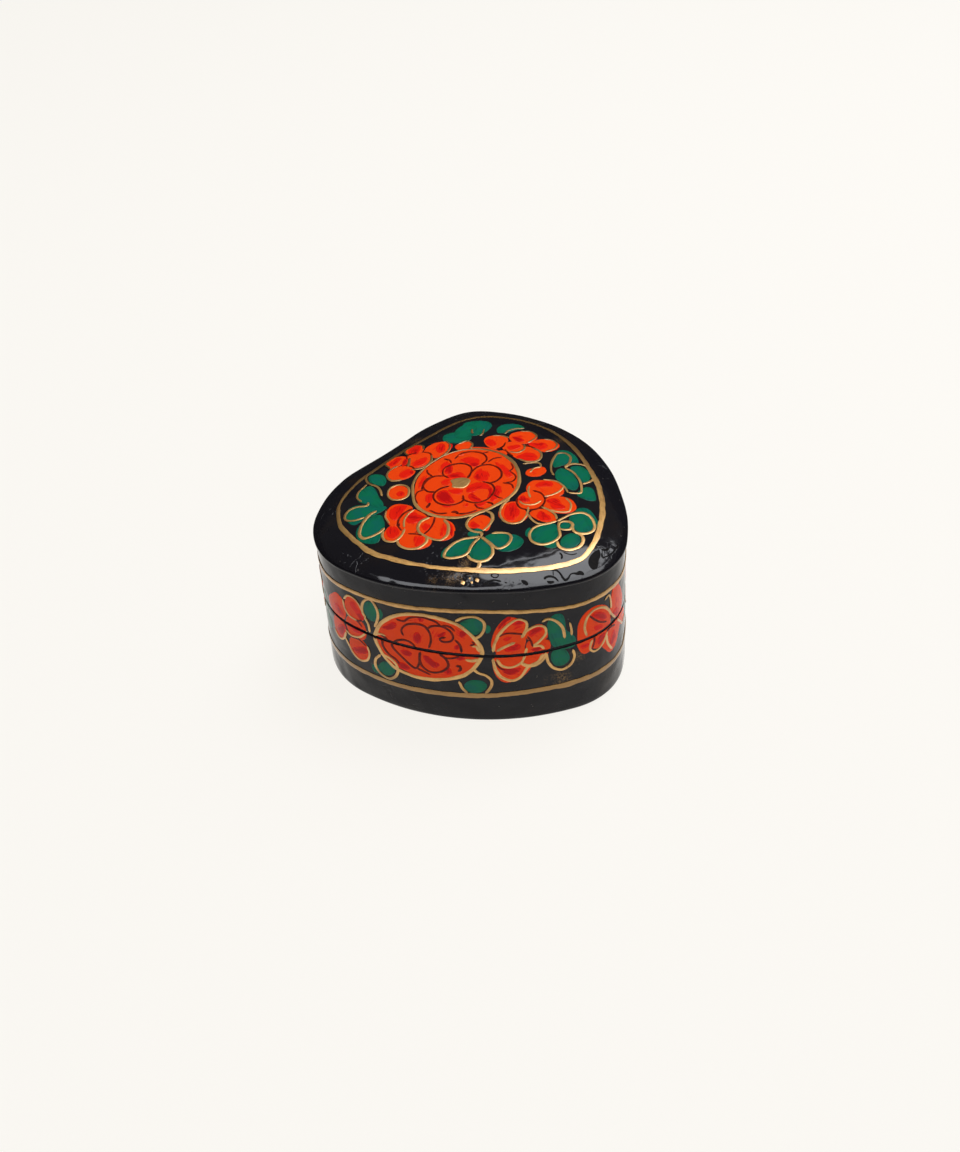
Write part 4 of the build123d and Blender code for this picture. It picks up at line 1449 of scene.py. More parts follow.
crownGold = [
    (1.4, [(-31.1, 2.5, 0.9), (-32, 6, 0.95), (-32, 10, 0.8), (-31.3, 14.5, 0.8), (-29.6, 20, 0.75),
        (-27.6, 22.8, 0.65), (-24.2, 26.2, 0.6), (-20.5, 28, 0.55), (-15, 29.5, 0.6), (-9, 30, 0.65),
        (-3, 30.4, 0.7), (3, 30.4, 0.75), (10, 29.7, 0.7), (15.5, 29, 0.65), (20.5, 27.9, 0.6),
        (24.8, 25.7, 0.55), (27.8, 22.8, 0.55), (30.1, 19, 0.55), (31.6, 14.5, 0.6), (32.1, 10, 0.65),
        (31.9, 5.7, 0.75), (31, 2.2, 0.85), (29.4, -2.4, 0.9), (27.4, -6.3, 0.9), (24.9, -10.5, 0.95),
        (22.4, -14.4, 1), (19.6, -18, 1), (16.4, -21.3, 1), (13, -24.2, 1), (9.3, -26.7, 0.95),
        (5.2, -29, 0.9), (2, -30.4, 0.85), (-2, -31.5, 0.8), (-5, -31.5, 0.8), (-8, -30.2, 0.84),
        (-11.2, -28.1, 0.88), (-14.2, -25.7, 0.92), (-17.3, -22.7, 0.95), (-20.4, -19.2, 1),
        (-23, -15.6, 0.92), (-25.4, -11.8, 0.78), (-27.6, -7.6, 0.7), (-29.3, -3.6, 0.72),
        (-30.4, -0.4, 0.85), (-31.1, 2.5, 0.9)]),
    (0.87, [(-14.3, 8), (-13.9, 5), (-12.9, 2.3), (-11, -0.3), (-8, -2.2), (-4.5, -3.6), (0, -4.4),
        (4, -4.4), (7.6, -3), (10.6, -0.7), (12.9, 1.9), (14.6, 5), (15.3, 9, 0.85), (14.6, 13, 0.7),
        (12.5, 16.4, 0.55), (9.3, 18.8, 0.5), (5, 20.1, 0.5), (0, 20.1, 0.55), (-4.5, 19.1, 0.65),
        (-7.8, 17.3, 0.8), (-10.5, 14.8, 0.9), (-13, 11.7), (-14.3, 8)]),
    (0.58, [(-21.8, 6.6), (-24, 5.4), (-26.6, 5.2), (-27.7, 7), (-27, 8.8), (-25.4, 10)]),
    (0.48, [(-22.6, 10.8), (-21.3, 13.4), (-19.4, 15)]),
    (0.48, [(-21.6, 7), (-19.6, 8.9), (-17.2, 9.9), (-15, 10)]),
    (0.73, [(-15, 5), (-17.5, 5.5), (-19.6, 4.5), (-20.8, 2.8), (-21, 0.6), (-20.8, -1.4), (-19.9, -3),
        (-18.3, -3.1), (-16.2, -2), (-14.4, -0.2), (-13.6, 1.8)]),
    (0.63, [(-26.1, 5), (-27, 3.4), (-26.8, 1.2), (-25.5, -0.6), (-23.9, -1.1), (-22.2, -0.8),
        (-21, 0.4)]),
    (0.58, [(2, -5), (-1, -5.4), (-3.8, -7), (-5.4, -9.6), (-5.2, -11.6), (-3.6, -12.9), (-1.6, -12.7),
        (0.4, -11.9), (2.2, -10.6)]),
    (0.58, [(0, -12.4), (-1.1, -14.4), (-1.4, -16.6), (-0.2, -18.3), (1.8, -19.3)]),
    (0.54, [(4.1, -13), (4.2, -15.2), (3.8, -17.4), (2.5, -19)]),
    (0.58, [(4.4, -15.4), (5, -17.4), (6.6, -19.2), (8.2, -18.6), (9.6, -17.2), (10.4, -15.2)]),
    (0.48, [(13, -6.2), (14.4, -9), (13.8, -12), (12.4, -14.4)]),
    (0.48, [(7.8, -11), (9.6, -12), (12, -12.4), (13.8, -12)]),
    (0.48, [(2.8, -7.2), (2.4, -9), (3.8, -11), (6, -11.4)]),
    (0.48, [(5.4, -8.6), (7, -6.6), (9, -5.3)]),
    (0.48, [(22, 12.2), (21.6, 14.4), (20.2, 16.2)]),
    (0.48, [(17.1, 8.2), (18.4, 6.2), (20.4, 5.9), (21.9, 7.3)]),
    (0.48, [(23, 7), (25, 6.9), (27, 7.5), (27.7, 9.8), (26.2, 12)]),
    (0.58, [(16.2, 4.4), (16.6, 1.8), (18.2, 0.1), (20.4, 0.4), (21.9, 2.2), (22, 4.6)]),
    (0.48, [(22.6, 1), (25, 0.2), (27.2, 1), (28, 3), (27, 5)]),
    (0.58, [(15.2, 2), (17, 0.6), (17.9, -1), (16.9, -2.4)]),
    (0.58, [(-8, 20.9), (-9.7, 22.8), (-9, 25), (-6.6, 26.3), (-4, 26.1)]),
    (0.54, [(-3.4, 22.3), (-2, 20.9), (0, 20.3), (2.6, 20.9), (4.4, 22.6)]),
    (0.73, [(-2.9, 23.6), (-1.4, 24.8), (0.3, 26.2)]),
    (0.48, [(5, 20.2), (8, 20.4), (10.6, 22), (11.2, 24)]),
    (0.48, [(-5.8, 27), (-5, 29.5), (-3, 30.4)]),
    (0.48, [(1.1, 27.6), (1.8, 29.4), (3.4, 30.4)]),
    (0.48, [(5.2, 26.1), (6.6, 27.6), (6.2, 29.2)]),
    (0.54, [(-15.3, 17.3), (-14.2, 19.6), (-12, 20.7), (-9.8, 20), (-9.2, 18), (-10.3, 16.2),
        (-12.5, 15), (-14.5, 15.8), (-15.3, 17.3)]),
    (0.48, [(12, 20.6), (14.6, 19.7), (14.3, 17.7), (12.2, 16.8)]),
    (0.69, [(-5, -3.7), (-7, -2.9), (-9.5, -2.7), (-11.6, -3.5), (-12.7, -5), (-12.8, -6.8),
        (-12.1, -8.6), (-13.2, -9.4)]),
    (0.69, [(-5, -3.7), (-5, -5.4), (-6.4, -7), (-8.6, -7.9), (-11.4, -8.4)]),
    (0.48, [(13.4, -1.7), (15.4, -1.4), (16.9, -2.4)]),
    (0.69, [(-20.8, 16.8), (-22.8, 16.9), (-25.3, 16.3), (-28, 15), (-29.9, 13.2), (-29.8, 11.8),
        (-28, 10.7), (-26, 10.3), (-24.4, 10.6)]),
    (0.58, [(-24.4, 17.2), (-26.8, 18.6), (-27.5, 20.3), (-26.3, 21.9), (-24.2, 22.4), (-22.2, 21.4),
        (-20.6, 20), (-19.6, 20.8)]),
    (0.54, [(-20.4, 22.2), (-19.8, 24.3), (-18.2, 25.7), (-16, 26.3), (-14.2, 26.7)]),
    (0.58, [(-15.8, 20), (-14.3, 22), (-13.6, 24), (-13.8, 26), (-13.1, 28), (-11.5, 29.6), (-9, 30.3)]),
    (0.58, [(17.9, 20.9), (18.5, 21.7), (19.4, 22.4)]),
    (0.48, [(18, 18.6), (19.6, 19), (21.2, 20)]),
    (0.48, [(22.6, 14.2), (24.5, 14.6), (26.3, 13.8), (27.9, 12.2)]),
    (0.58, [(16, -7.2), (17, -5.5), (19, -3.8), (21.5, -2.5), (24, -1.8), (25.3, -2.8), (25.2, -4.6),
        (23.8, -6), (22, -6.8), (20.3, -6.9)]),
    (0.58, [(20.2, -7), (20, -9.5), (19, -12), (17.4, -14.3), (15.6, -15.9), (14.2, -16.7),
        (13.1, -15.6), (12.5, -14.4)]),
    (0.58, [(20.3, -7.1), (22.5, -7.3), (24, -8.6), (24.9, -10.6)]),
    (0.58, [(17.5, -14.8), (19.5, -15.2), (21.4, -14.9), (22.9, -13.6)]),
    (0.69, [(-13.2, -9.4), (-14.5, -8.4), (-16.5, -6.8), (-19, -6.2), (-21.6, -6.5), (-23.7, -7.6),
        (-23.4, -9), (-21.6, -10.6), (-20, -11.1), (-17, -10), (-13.4, -9.3)]),
    (0.73, [(-20.2, -11.4), (-20.8, -13.2), (-20.1, -15.2), (-18.3, -16.1), (-16.2, -15.6),
        (-14.6, -13.8), (-13.9, -12), (-13.3, -9.5)]),
    (0.69, [(-13.2, -9.5), (-13.8, -12.5), (-14.3, -15.4), (-12.6, -16.2), (-10, -15.7), (-8.6, -14),
        (-9.3, -12), (-10.8, -10.6)]),
    (0.78, [(-22, -16), (-21.2, -15.9), (-20.2, -15.1)]),
    (0.69, [(2, -19.4), (0.3, -18.6), (-1.4, -17.4), (-3.6, -16.9), (-6, -17.8), (-7.5, -20),
        (-6.9, -22.4), (-4.6, -23.7), (-2, -23.5), (-0.4, -22), (1, -20.7), (2.3, -20)]),
    (0.73, [(-3.8, -24.1), (-5, -25.8), (-4.6, -27.8), (-2.6, -29), (0, -28.7), (1.3, -27.4),
        (1.5, -26)]),
    (0.69, [(2, -19.6), (3.6, -19.8), (6, -20.3), (8.2, -22), (8.4, -24), (7, -26.4), (5, -27.8),
        (3, -27.6), (1.5, -26.2), (1.4, -24.8), (2.6, -23.5)]),
    (0.63, [(0.1, -22.2), (0.8, -20.9), (2.3, -20.4), (3.5, -21.7), (3.1, -23.2), (1.3, -23.7),
        (0.1, -22.2)]),
]
# dull pits and cracks in the varnish, seen as dark lines where the margin mirrors a lamp
crownRuns = [
    (0.3, [(-21.5, -19.7), (-20.9, -19.7), (-20.4, -20.2), (-20.4, -20.9), (-21.1, -21), (-21.6, -20.4),
        (-21.5, -19.7)]),
    (0.45, [(-24.5, -19.9), (-23.5, -20.2), (-22.6, -20.5), (-22, -21), (-21.6, -21.7), (-21.3, -22.4)]),
    (0.4, [(-23.9, -20.3), (-23.5, -21.1), (-22.7, -21.7), (-22.2, -21.7)]),
    (0.36, [(-20.9, -23.1), (-20.7, -23.6)]),
    (0.8, [(-18.1, -25.5, 0.6), (-18, -26.2, 1), (-17.8, -27.3, 1.1)]),
    (0.5, [(-14.4, -29, 1.2), (-13.7, -29), (-13, -29.4), (-12.5, -30.1), (-12.4, -31, 0.8),
        (-12.5, -31.6, 0.6)]),
    (0.55, [(-14.3, -29.7, 0.6), (-14.1, -30.3, 1.2), (-13.2, -31, 0.8)]),
    (0.52, [(-11.5, -28.3, 1.5), (-11, -29, 1.3), (-10.7, -29.9, 0.8), (-10.8, -30.8, 0.8),
        (-11.1, -31.6), (-11.1, -32.4, 1.1), (-10.3, -32.6), (-9.2, -32.4, 0.7), (-8.6, -32.7, 0.8),
        (-8.1, -33.3, 1.4), (-7.3, -33.7, 1.8), (-7, -34.5)]),
    (0.24, [(-11.2, -29), (-11.8, -29.5), (-12.2, -29.9)]),
    (1.9, [(0.9, -32.5, 0.4), (-0.5, -33, 0.8), (-2.1, -33.6, 1.1), (-3.3, -34.2, 1.2),
        (-4.6, -34.9, 0.9)]),
    (0.6, [(1.4, -32.8), (2, -33.4, 1.3), (3.2, -33.6)]),
    (0.36, [(0.6, -33.5), (-0.2, -34.4, 1.5), (0.8, -34.7), (2.5, -34.8), (4.4, -34.5), (6.3, -34)]),
    (0.45, [(-6.4, -27), (-6.8, -28), (-7.6, -28.5)]),
    (0.3, [(-5.8, -27.6), (-5.1, -29.3), (-3.9, -30)]),
]

# stray drops of gold by the front border: place and radius
goldDrops = [(-24.4, -18, 0.64), (-25.6, -17.5, 0.4), (-25.1, -16.5, 0.32), (-26.8, -15.9, 0.68)]

dropShape = {"fullness": 2.4, "reach": (0.6, -0.3), "edge": 0.04, "crest": 0.17, "spacing": 0.15}

# the gold heart of the rosette, and the point it is drawn towards
heartMiddle = (-0.3, 8.9)
heartLift = 0.16
rosetteHeart = [
    (-2.8, 9.2), (-1.7, 10), (-1, 11.4), (0.5, 10.9), (2, 9.6), (2.4, 7.8), (0.9, 6.8), (-1.3, 6.6),
    (-2.1, 7.7),
]

# side: places are millimetres along the side from the tip, and height
sideLeaves = [
    [(-79, 24), (-77.4, 25.6), (-75.6, 23.8), (-75, 21.2), (-76.4, 19.6), (-78.4, 21.2)],
    [(-78.4, 18.4), (-76.6, 19.4), (-74.6, 18), (-74.4, 15.6), (-76.2, 14.2), (-78, 15.8)],
    [(-60.8, 29), (-60, 31.2), (-58.3, 32), (-57, 30.6), (-56.6, 28), (-57.8, 26.2), (-59.3, 26.2),
        (-60.5, 27.5)],
    [(-57, 28.6), (-55.9, 31), (-55.2, 29.4), (-56, 27.6)],
    [(-60.4, 11.6), (-58.6, 12.6), (-57.4, 11), (-58.6, 9.6), (-60.2, 9.9)],
    [(-58.2, 12.2), (-57.2, 13.9), (-55.8, 14.6), (-54, 14), (-53.7, 12.2), (-55, 10.5), (-57, 9.8)],
    [(-36.6, 30.2), (-34.6, 31.9), (-32.4, 32.2), (-31, 30.8), (-31.5, 28.5), (-33, 27.3), (-34.8, 28)],
    [(-30.8, 30), (-29.7, 30.2), (-29.4, 28.6), (-30.3, 27.6)],
    [(-36.4, 11.8), (-35, 13.2), (-32, 13.1), (-31, 11.5), (-32.5, 9.5), (-35, 9.2), (-36.4, 10.4)],
    [(-16.5, 29), (-15, 31.2), (-13, 31), (-12.2, 28.5), (-12, 26), (-10.6, 24.4), (-9.7, 22.6),
        (-10, 20.4), (-14, 20.6), (-15.6, 22.5), (-16.3, 26)],
    [(-15.6, 20), (-15.8, 18), (-14.8, 15.8), (-13, 15.3), (-11.3, 16.5), (-11.5, 18.5), (-12.8, 20.6),
        (-14.5, 21)],
]
sidePetals = [
    ((-69.6, 25.8), 0.36, [(-74, 25.2), (-71.5, 28.2), (-69, 29.8), (-67, 28.5), (-66.6, 25.5),
        (-67.4, 22.6), (-70.5, 21), (-73, 22.6)]),
    ((-63.6, 27.6), 0.4, [(-66.4, 29), (-64.8, 31), (-62.9, 30.9), (-61.6, 28.6), (-60.7, 26),
        (-62.3, 24.4), (-65, 24.6), (-66.5, 26.6)]),
    ((-70, 18.4), 0.32, [(-72.6, 20), (-71, 22.2), (-68.6, 22), (-67.4, 19), (-69, 15.8), (-71.2, 15),
        (-72.7, 16.6)]),
    ((-63.8, 15), 0.38, [(-66.9, 15.5), (-66, 17.8), (-63, 18.8), (-61.2, 17.5), (-60.7, 15),
        (-62, 12.5), (-64, 11.7), (-66.2, 13)]),
    ((-63.8, 22.4), 0.28, [(-67.2, 21.5), (-66.2, 24.2), (-64, 25.3), (-61.5, 24.4), (-60.7, 22),
        (-61.2, 19.6), (-63, 18.2), (-66, 18.4)]),
    ((-46, 22), 0.12, [(-58.2, 22), (-57.2, 25.4), (-54.4, 28.8), (-50.5, 31.2), (-45, 32.1),
        (-40, 31.7), (-36.6, 29.9), (-34, 27), (-32.3, 24), (-32, 21.5), (-33, 18.9), (-35, 16.3),
        (-38.2, 14), (-42.5, 12.7), (-46.6, 12.2), (-51, 13.3), (-54.9, 15), (-57.3, 17.5)]),
    ((-53.3, 27), 0.46, [(-57, 24.8), (-55.5, 27.3), (-52.5, 29.4), (-50.8, 29), (-50.8, 26.8),
        (-52.6, 25.2), (-55, 24.6)]),
    ((-53.4, 23.4), 0.08, [(-56.6, 23.8), (-54.6, 25), (-52.2, 25.4), (-50.6, 24), (-51.4, 22.4),
        (-54.4, 22)]),
    ((-47.4, 29.8), 0.34, [(-51.6, 29.2), (-49.6, 29.4), (-48.2, 30.6), (-45, 31.3), (-42, 30.7),
        (-40.6, 29.4), (-43.4, 28.6), (-47, 28.7)]),
    ((-36.1, 27.6), 0.48, [(-39.6, 29.4), (-37.6, 29.8), (-35.6, 28.4), (-34.6, 26.2), (-35.6, 24),
        (-37.4, 23.6), (-38.2, 26)]),
    ((-37.2, 20.6), 0.34, [(-38.6, 22.6), (-34.8, 23.4), (-33.6, 21.6), (-34.4, 19.4), (-37.6, 18.8),
        (-39.8, 20.4)]),
    ((-56, 19.6), 0.14, [(-56.8, 21.5), (-55, 22), (-53.4, 20.8), (-52.8, 18.2), (-53.8, 16.2),
        (-55.6, 17)]),
    ((-51.9, 15.6), 0.44, [(-54.6, 16), (-53, 17.4), (-50.6, 16.4), (-49, 14.6), (-50.4, 13.6),
        (-53, 14.4)]),
    ((-49, 13.8), 0.12, [(-50.6, 14.4), (-48.2, 15), (-45.6, 14.6), (-45, 13), (-47.4, 12.9),
        (-49.8, 13.4)]),
    ((-39.4, 15), 0.46, [(-45, 14.6), (-42.6, 15.4), (-39.8, 16.8), (-37.6, 15.6), (-39.2, 14.2),
        (-42.4, 13.3), (-44.8, 13.2)]),
    ((-37, 17.6), 0.14, [(-39.6, 18.4), (-38.4, 19.6), (-36.2, 19.8), (-34.6, 18.6), (-35.8, 17),
        (-38.4, 16.4)]),
    ((-47.2, 25), (0, 0.35), [(-50.6, 25), (-49.6, 27.7), (-47.2, 28.7), (-44.9, 28.6), (-43.7, 27),
        (-43.5, 24.6), (-44.2, 22), (-47.5, 21.6), (-50, 22.8)]),
    ((-42.6, 26.4), (0, 0.35), [(-44, 27.8), (-42.6, 29), (-40.4, 29.1), (-38.6, 27.6), (-38.2, 25.6),
        (-38.6, 22.8), (-40.4, 21.4), (-43.6, 21.6), (-43.6, 25)]),
    ((-50.2, 19), (0, 0.35), [(-53.5, 20.5), (-52.2, 22.2), (-50, 23), (-48, 22), (-46.8, 19.8),
        (-47, 17), (-48.1, 15.2), (-50.6, 17.1), (-52.8, 19.2)]),
    ((-42.8, 17.6), (0, 0.35), [(-46.6, 19.8), (-45.5, 21.4), (-42.5, 21.2), (-40.4, 19.4), (-40, 17.2),
        (-42.2, 15.1), (-44.6, 14.9), (-46.4, 16.2)]),
    ((-27, 29), 0.44, [(-29.4, 23), (-28.9, 27.5), (-27, 31), (-25.3, 32.3), (-23, 31.6), (-21.4, 29.8),
        (-21.6, 26.8), (-24.4, 24.6), (-27.4, 21.5)]),
    ((-27, 29.6), (0, 0.35), [(-29, 25), (-28.6, 28), (-27, 30.9), (-25.4, 32.1), (-23.6, 31.6),
        (-25.2, 29.6), (-27, 27.6), (-28, 25)]),
    ((-23, 29.4), 0.44, [(-25.6, 27.8), (-24.6, 30), (-22.8, 31.2), (-21.4, 30), (-21.6, 27.4),
        (-23.6, 27)]),
    ((-25.8, 25.2), 0.08, [(-28.6, 24), (-28, 27), (-25, 27.4), (-21.9, 27), (-21.6, 24), (-23, 21.4),
        (-27.6, 21.4)]),
    ((-19.4, 27), 0.44, [(-21.8, 27), (-20, 28.9), (-18, 29.2), (-16.7, 27.4), (-16.6, 24.6),
        (-18.6, 24), (-21, 25)]),
    ((-18.8, 22.4), 0.32, [(-21, 24.6), (-18.4, 24.4), (-16.2, 24), (-15.9, 21.3), (-17.4, 19),
        (-20.2, 19.4), (-21.6, 22)]),
    ((-19.4, 19.4), 0.16, [(-21.6, 21.4), (-19, 21.8), (-17.2, 20.6), (-17.8, 18.2), (-20.2, 16.9),
        (-21.8, 18.4)]),
    ((-25.4, 15.6), 0.44, [(-29.5, 18.6), (-28.8, 14.6), (-27, 12.5), (-24, 12.9), (-21.5, 15),
        (-20.4, 17.2), (-22, 19), (-26, 18.6), (-29, 20.4)]),
    ((-24.6, 22.6), 0.38, [(-28.6, 21.4), (-27.2, 23.6), (-24.6, 24.9), (-22.4, 24), (-21.6, 21.4),
        (-22.2, 19.2), (-24.6, 17.8), (-27.6, 18.6)]),
    ((-3.4, 27), 0.4, [(-9, 26.8), (-7.6, 29.2), (-5, 30.3), (-2.4, 29.5), (-0.4, 27.5), (0.6, 24.4),
        (-0.2, 21), (-4, 20.8), (-8.9, 21), (-9.3, 24)]),
    ((3, 26.6), 0.36, [(0.4, 25), (0.6, 29.5), (1.6, 32.6), (3.6, 32), (5.6, 29), (7, 25.5), (6.5, 22.6),
        (4, 21), (1.8, 22.6)]),
    ((-7.2, 19.2), 0.14, [(-9.3, 21.6), (-9, 19), (-7.6, 17), (-6, 17.4), (-5, 20), (-5.4, 21.8)]),
    ((-3.4, 19.2), 0.56, [(-5.6, 21.4), (-5.4, 17.8), (-3, 17), (-1.4, 18.5), (-0.8, 21.4)]),
    ((2.2, 17.4), 0.38, [(-2.5, 17), (-1.3, 15), (0.5, 13), (2.6, 13.5), (4.2, 16), (5.2, 19),
        (3.6, 21.6), (0.4, 21.8), (-1.2, 19)]),
    ((6, 19.6), 0.28, [(3.6, 21.6), (5, 18.6), (7.4, 16.8), (9, 18), (8.6, 20.8), (6, 22.4)]),
]
sidePatches = [
    (0.75, [(-64.9, 29.1), (-63.5, 30), (-62.5, 28.7), (-61.2, 27.2), (-60.8, 25.8), (-62.2, 26.4),
        (-64, 27.1)]),
    (0.95, [(-63.4, 26.8), (-62.1, 27.4), (-60.8, 25.8), (-61.8, 24.9)]),
    (0.8, [(-71.1, 25.5), (-69.3, 26), (-67.9, 24.9), (-67.4, 23.7), (-69.4, 23.1), (-70.9, 24)]),
    (0.9, [(-71.6, 16.9), (-69.2, 20.1), (-67.3, 20.3), (-68.5, 17.4), (-70.5, 15.8)]),
    (0.8, [(-65.5, 20.7), (-63.7, 22.3), (-61.6, 22), (-61.4, 21.2), (-63.7, 20.1)]),
    (1, [(-66.2, 14), (-64.3, 15.6), (-61.4, 16.8), (-60.6, 15.9), (-63, 13.8), (-65, 13.4)]),
    (1.05, [(-55.9, 25.1), (-54.4, 26.6), (-52.4, 28.2), (-51.7, 27.5), (-52.9, 25.7), (-54.5, 25)]),
    (1.05, [(-47.9, 25.2), (-46.8, 26.7), (-46.1, 26), (-45.9, 23.9), (-46.8, 22.9), (-47.8, 23.4)]),
    (1, [(-51.7, 19.5), (-50.1, 20.3), (-48.6, 19.8), (-49, 18.5), (-50.5, 18.3)]),
    (1.1, [(-45.9, 19.6), (-44.6, 19.7), (-43.3, 18.3), (-42.2, 17), (-43, 16), (-44.4, 16.8),
        (-45.7, 18.1)]),
    (0.95, [(-52.6, 15.4), (-51.2, 15.9), (-49.3, 14.6), (-50.9, 13.6), (-52.5, 13.8)]),
    (0.9, [(-46.4, 31.2), (-45.4, 31.6), (-44.8, 30.2), (-45.8, 29.7)]),
    (1, [(-42.2, 26.2), (-41, 27.3), (-39.8, 27.8), (-40.1, 26.6), (-41.3, 25.9)]),
    (1.1, [(-36.8, 27.6), (-35.8, 28.6), (-34.9, 27.8), (-35.7, 26.6), (-36.6, 26.5)]),
    (1, [(-38.2, 23.5), (-37, 24.3), (-36.8, 22.8), (-38, 22.5)]),
    (1, [(-37.9, 20.2), (-36.5, 20.8), (-35.6, 20.1), (-36.5, 19.4), (-37.7, 19.4)]),
    (0.9, [(-41.2, 16.2), (-40, 17.1), (-39.1, 15.6), (-39.9, 14.6), (-41.1, 15)]),
    (0.9, [(-42.8, 18.1), (-42.1, 17.9), (-41.9, 17), (-42.7, 16.6)]),
    (1.1, [(-27.8, 29.5), (-26.8, 31), (-25.8, 32.2), (-24.9, 32.5), (-24.5, 32), (-25.9, 30.9),
        (-27.1, 29.5), (-27.6, 28.6)]),
    (0.9, [(-24.8, 30.2), (-23.6, 31.2), (-22, 31.3), (-21.4, 30.4), (-22.3, 29.8), (-23.9, 29.7)]),
    (0.9, [(-21, 26.8), (-20.1, 28.1), (-18.6, 28.8), (-17.4, 28.2), (-17.7, 27.2), (-19.2, 26.5),
        (-20.3, 25.7)]),
    (0.95, [(-26.7, 22.8), (-25.3, 23.7), (-23.6, 24.4), (-22.7, 23.7), (-22.9, 22.5), (-24.6, 22.1),
        (-26.2, 22)]),
    (1.15, [(-20.7, 22), (-19, 22.4), (-17.6, 22.2), (-18.1, 21.6), (-19.8, 21.3)]),
    (1.15, [(-27.6, 16.7), (-26.4, 17), (-24.6, 16.8), (-22.9, 16.9), (-23, 16), (-24.2, 15),
        (-25.6, 14.7), (-27, 15.6)]),
    (0.6, [(-26.8, 25.9), (-25.6, 26.6), (-24.5, 26.6), (-25.2, 25.6), (-26.3, 25.1)]),
    (1, [(-5.7, 28), (-4.6, 28.5), (-2.5, 27.4), (-1.2, 25.9), (-0.8, 24.5), (-2.2, 24.8), (-4.6, 26.7)]),
    (0.6, [(-4.9, 24.6), (-3.1, 24.1), (-1.8, 22.7), (-3.4, 22.5), (-4.6, 22.9)]),
    (1, [(-4, 19.5), (-3.1, 20.7), (-1.5, 20.6), (-0.8, 19.7), (-2.1, 18.9), (-3.4, 17.8)]),
    (0.9, [(0.8, 18.1), (1.6, 19.3), (3.1, 17.2), (2.6, 15.4), (1.3, 14.9), (0.2, 15.3)]),
    (0.9, [(1.1, 24.6), (2.9, 25.1), (4.7, 23.2), (4.1, 22.1), (2.5, 22.5)]),
    (0.7, [(-8.7, 20), (-7.1, 20.2), (-6, 19.7), (-6.6, 18.9), (-8.2, 18.8)]),
]
sideVeins = [
    (0.45, [(-66.8, 21.4), (-64, 21.9), (-61.2, 21.3)]),
    (0.45, [(-66, 18), (-63.4, 18.4), (-61.4, 17.2)]),
    (0.45, [(-65.4, 24.6), (-63, 24.4), (-61.4, 25.2)]),
    (0.4, [(-63.8, 24.6), (-62.6, 23.9), (-61.8, 22.9)]),
    (0.65, [(-56.6, 23), (-55.4, 22.5), (-54.6, 21.7)]),
    (0.6, [(-56, 22), (-56.2, 19.6), (-54.8, 17.4), (-53, 16.3), (-52.2, 15)]),
    (0.55, [(-44.2, 22.2), (-43.5, 24.6), (-43.8, 27.2), (-45, 28.8), (-47.4, 28.9), (-49.7, 27.8),
        (-50.7, 26), (-50.3, 24.5)]),
    (0.5, [(-51.8, 29.2), (-50, 29), (-48.2, 30.5), (-45.1, 31.2), (-42.3, 30.6), (-40.8, 29.3)]),
    (0.55, [(-44.5, 27.8), (-42.8, 29.1), (-40.4, 29.2), (-38.6, 27.8), (-38.2, 26), (-39.1, 24.9),
        (-41.1, 24.8), (-41.3, 25.6), (-39.9, 26.1)]),
    (0.5, [(-40.6, 29.6), (-38.8, 29.4), (-37.6, 28.2)]),
    (0.65, [(-37.8, 25.6), (-36.7, 24), (-36.5, 21.8)]),
    (0.6, [(-47.4, 21.6), (-48.6, 22.9), (-50.4, 23.2), (-52.4, 22.3), (-53.6, 20.6), (-53, 19.4),
        (-50.7, 17), (-48, 15), (-47, 17), (-46.6, 20.4)]),
    (0.6, [(-46.4, 20.6), (-46.8, 18.1), (-46.3, 16.1), (-44.7, 14.8), (-42.2, 15), (-39.9, 17.2),
        (-40.3, 19.4), (-41.8, 20.8)]),
    (0.5, [(-41.8, 20.5), (-40.2, 19.7), (-37.8, 20.2), (-36.9, 21)]),
    (0.7, [(-38.1, 17.5), (-37.2, 17.5), (-37, 16.5), (-37.7, 15.9)]),
    (0.5, [(-47.8, 15.2), (-46.9, 14.8), (-45.2, 14.1), (-44.4, 13.7)]),
    (0.5, [(-33.9, 25.4), (-33.4, 24.7), (-34.4, 24.1)]),
    (0.5, [(-28.4, 26.6), (-25.6, 27.6), (-23.6, 27.3), (-21.8, 26.8)]),
    (0.5, [(-21.2, 26.2), (-20.4, 24.6), (-20, 22.8)]),
    (0.5, [(-28.8, 19.4), (-28, 17.4), (-26.6, 16.4)]),
    (0.5, [(-6.2, 28.2), (-4.8, 26.4), (-2.8, 24.6), (-1, 23.6)]),
    (0.5, [(-1, 20.6), (0.8, 20.9), (2.4, 20.2)]),
    (0.5, [(-5.4, 17.8), (-4.8, 20), (-5, 21.4)]),
    (0.5, [(0.4, 24.6), (1.6, 22.8), (3.8, 21.4)]),
]
